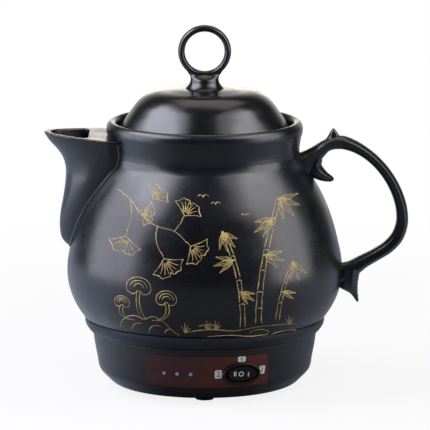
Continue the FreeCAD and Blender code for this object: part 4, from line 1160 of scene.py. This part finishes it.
def makeFloor():
    bm = bmesh.new()
    bmesh.ops.create_grid(bm, x_segments=8, y_segments=8, size=stage["floorSize"] / 2)
    floor = roughPiece(bm, "floor")
    material = bpy.data.materials.new("pale paper")
    material.use_nodes = True
    tree = material.node_tree
    tree.nodes.clear()
    place = put(tree, "TexCoord").outputs["Object"]
    away = put(tree, "VectorMath", {0: place}, operation="LENGTH").outputs["Value"]
    dim, pale = shade(stage["floorColour"], 0.97), shade(stage["floorColour"], 1.03)
    matt = put(tree, "BsdfDiffuse", {0: mixColour(tree, mottle(tree, 0.0, 1.0, 700, 3), dim, pale)})
    # the paper seems bright to the camera all round, and to the glaze only beside and behind the pot
    fromPot = put(tree, "VectorMath", {0: place, 1: (-axisX, 0, 0)})
    bearing = put(tree, "VectorMath", {0: fromPot}, operation="NORMALIZE")
    ways = put(tree, "SeparateXYZ", {0: bearing}).outputs
    aside = product(tree, spread(tree, ways["Y"], 0.0, 1.0, *stage["mirrorFrom"]),
                    spread(tree, ways["X"], 1.0, stage["mirrorRight"], 0.0, 0.8))
    rays = put(tree, "LightPath").outputs
    glow = product(tree, product(tree, rays["Is Glossy Ray"], aside), stage["mirrorLift"])
    shine = put(tree, "Emission", {0: (*stage["mirrorTint"], 1), 1: glow})
    seen = rays["Is Camera Ray"]
    lift = put(tree, "Emission", {0: (1, 1, 1, 1), 1: product(tree, seen, stage["cameraLift"])})
    lit = put(tree, "AddShader", {0: put(tree, "AddShader", {0: matt, 1: lift}), 1: shine})
    bright = put(tree, "Emission", {0: (1, 1, 1, 1)})
    fade = product(tree, seen, spread(tree, away, 0.0, 1.0, *stage["fade"]))
    put(tree, "OutputMaterial", {0: put(tree, "MixShader", {0: fade, 1: lit, 2: bright})})
    floor.data.materials.append(material)


def makeWorld():
    world = bpy.data.worlds.new("studio")
    bpy.context.scene.world = world
    world.use_nodes = True
    tree = world.node_tree
    tree.nodes.clear()
    place = put(tree, "TexCoord").outputs["Generated"]
    ways = put(tree, "SeparateXYZ", {0: place}).outputs
    behind = product(tree, spread(tree, ways["Y"], 0.0, 1.0, *stage["backFrom"]),
                     spread(tree, ways["Z"], 1.0, stage["backHigh"], *stage["backRise"]))
    studio = put(tree, "Background", {0: mixColour(tree, behind, stage["frontDark"], stage["backWhite"])})
    white = put(tree, "Background", {0: (1, 1, 1, 1)})
    seen = put(tree, "LightPath").outputs["Is Camera Ray"]
    put(tree, "OutputWorld", {0: put(tree, "MixShader", {0: seen, 1: studio, 2: white})})


def pointAt(thing, spot, aim):
    thing.location = spot
    thing.rotation_euler = (aim - spot).to_track_quat("-Z", "Y").to_euler()


def makeLamps():
    aim = Vector((axisX, 0, 0.13))
    for name, (bearing, rise, distance, width, height, radiance, colour) in lamps.items():
        turn, lift = math.radians(bearing), math.radians(rise)
        level = math.cos(lift)
        away = Vector((math.sin(turn) * level, -math.cos(turn) * level, math.sin(lift)))
        light = bpy.data.lights.new(name, "AREA")
        light.shape = "RECTANGLE"
        light.size, light.size_y = width, height
        light.energy = radiance * math.pi * width * height
        light.color = colour
        lamp = newObject(name, light)
        pointAt(lamp, aim + away * distance, aim)
        lamp.visible_camera = False
        lamp.visible_glossy = name != "fill"     # the fill lights colours and leaves no glint


def makeCamera():
    view = newObject("camera", bpy.data.cameras.new("camera"))
    view.data.lens = camera["lens"]
    view.data.sensor_width = 36
    view.data.clip_end = 50
    pointAt(view, toAxis @ Vector(camera["place"]), toAxis @ Vector(camera["aim"]))
    bpy.context.scene.camera = view


makeFloor()
makeWorld()
makeLamps()
makeCamera()
bpy.context.scene.view_settings.view_transform = "Standard"
print("studio ready")
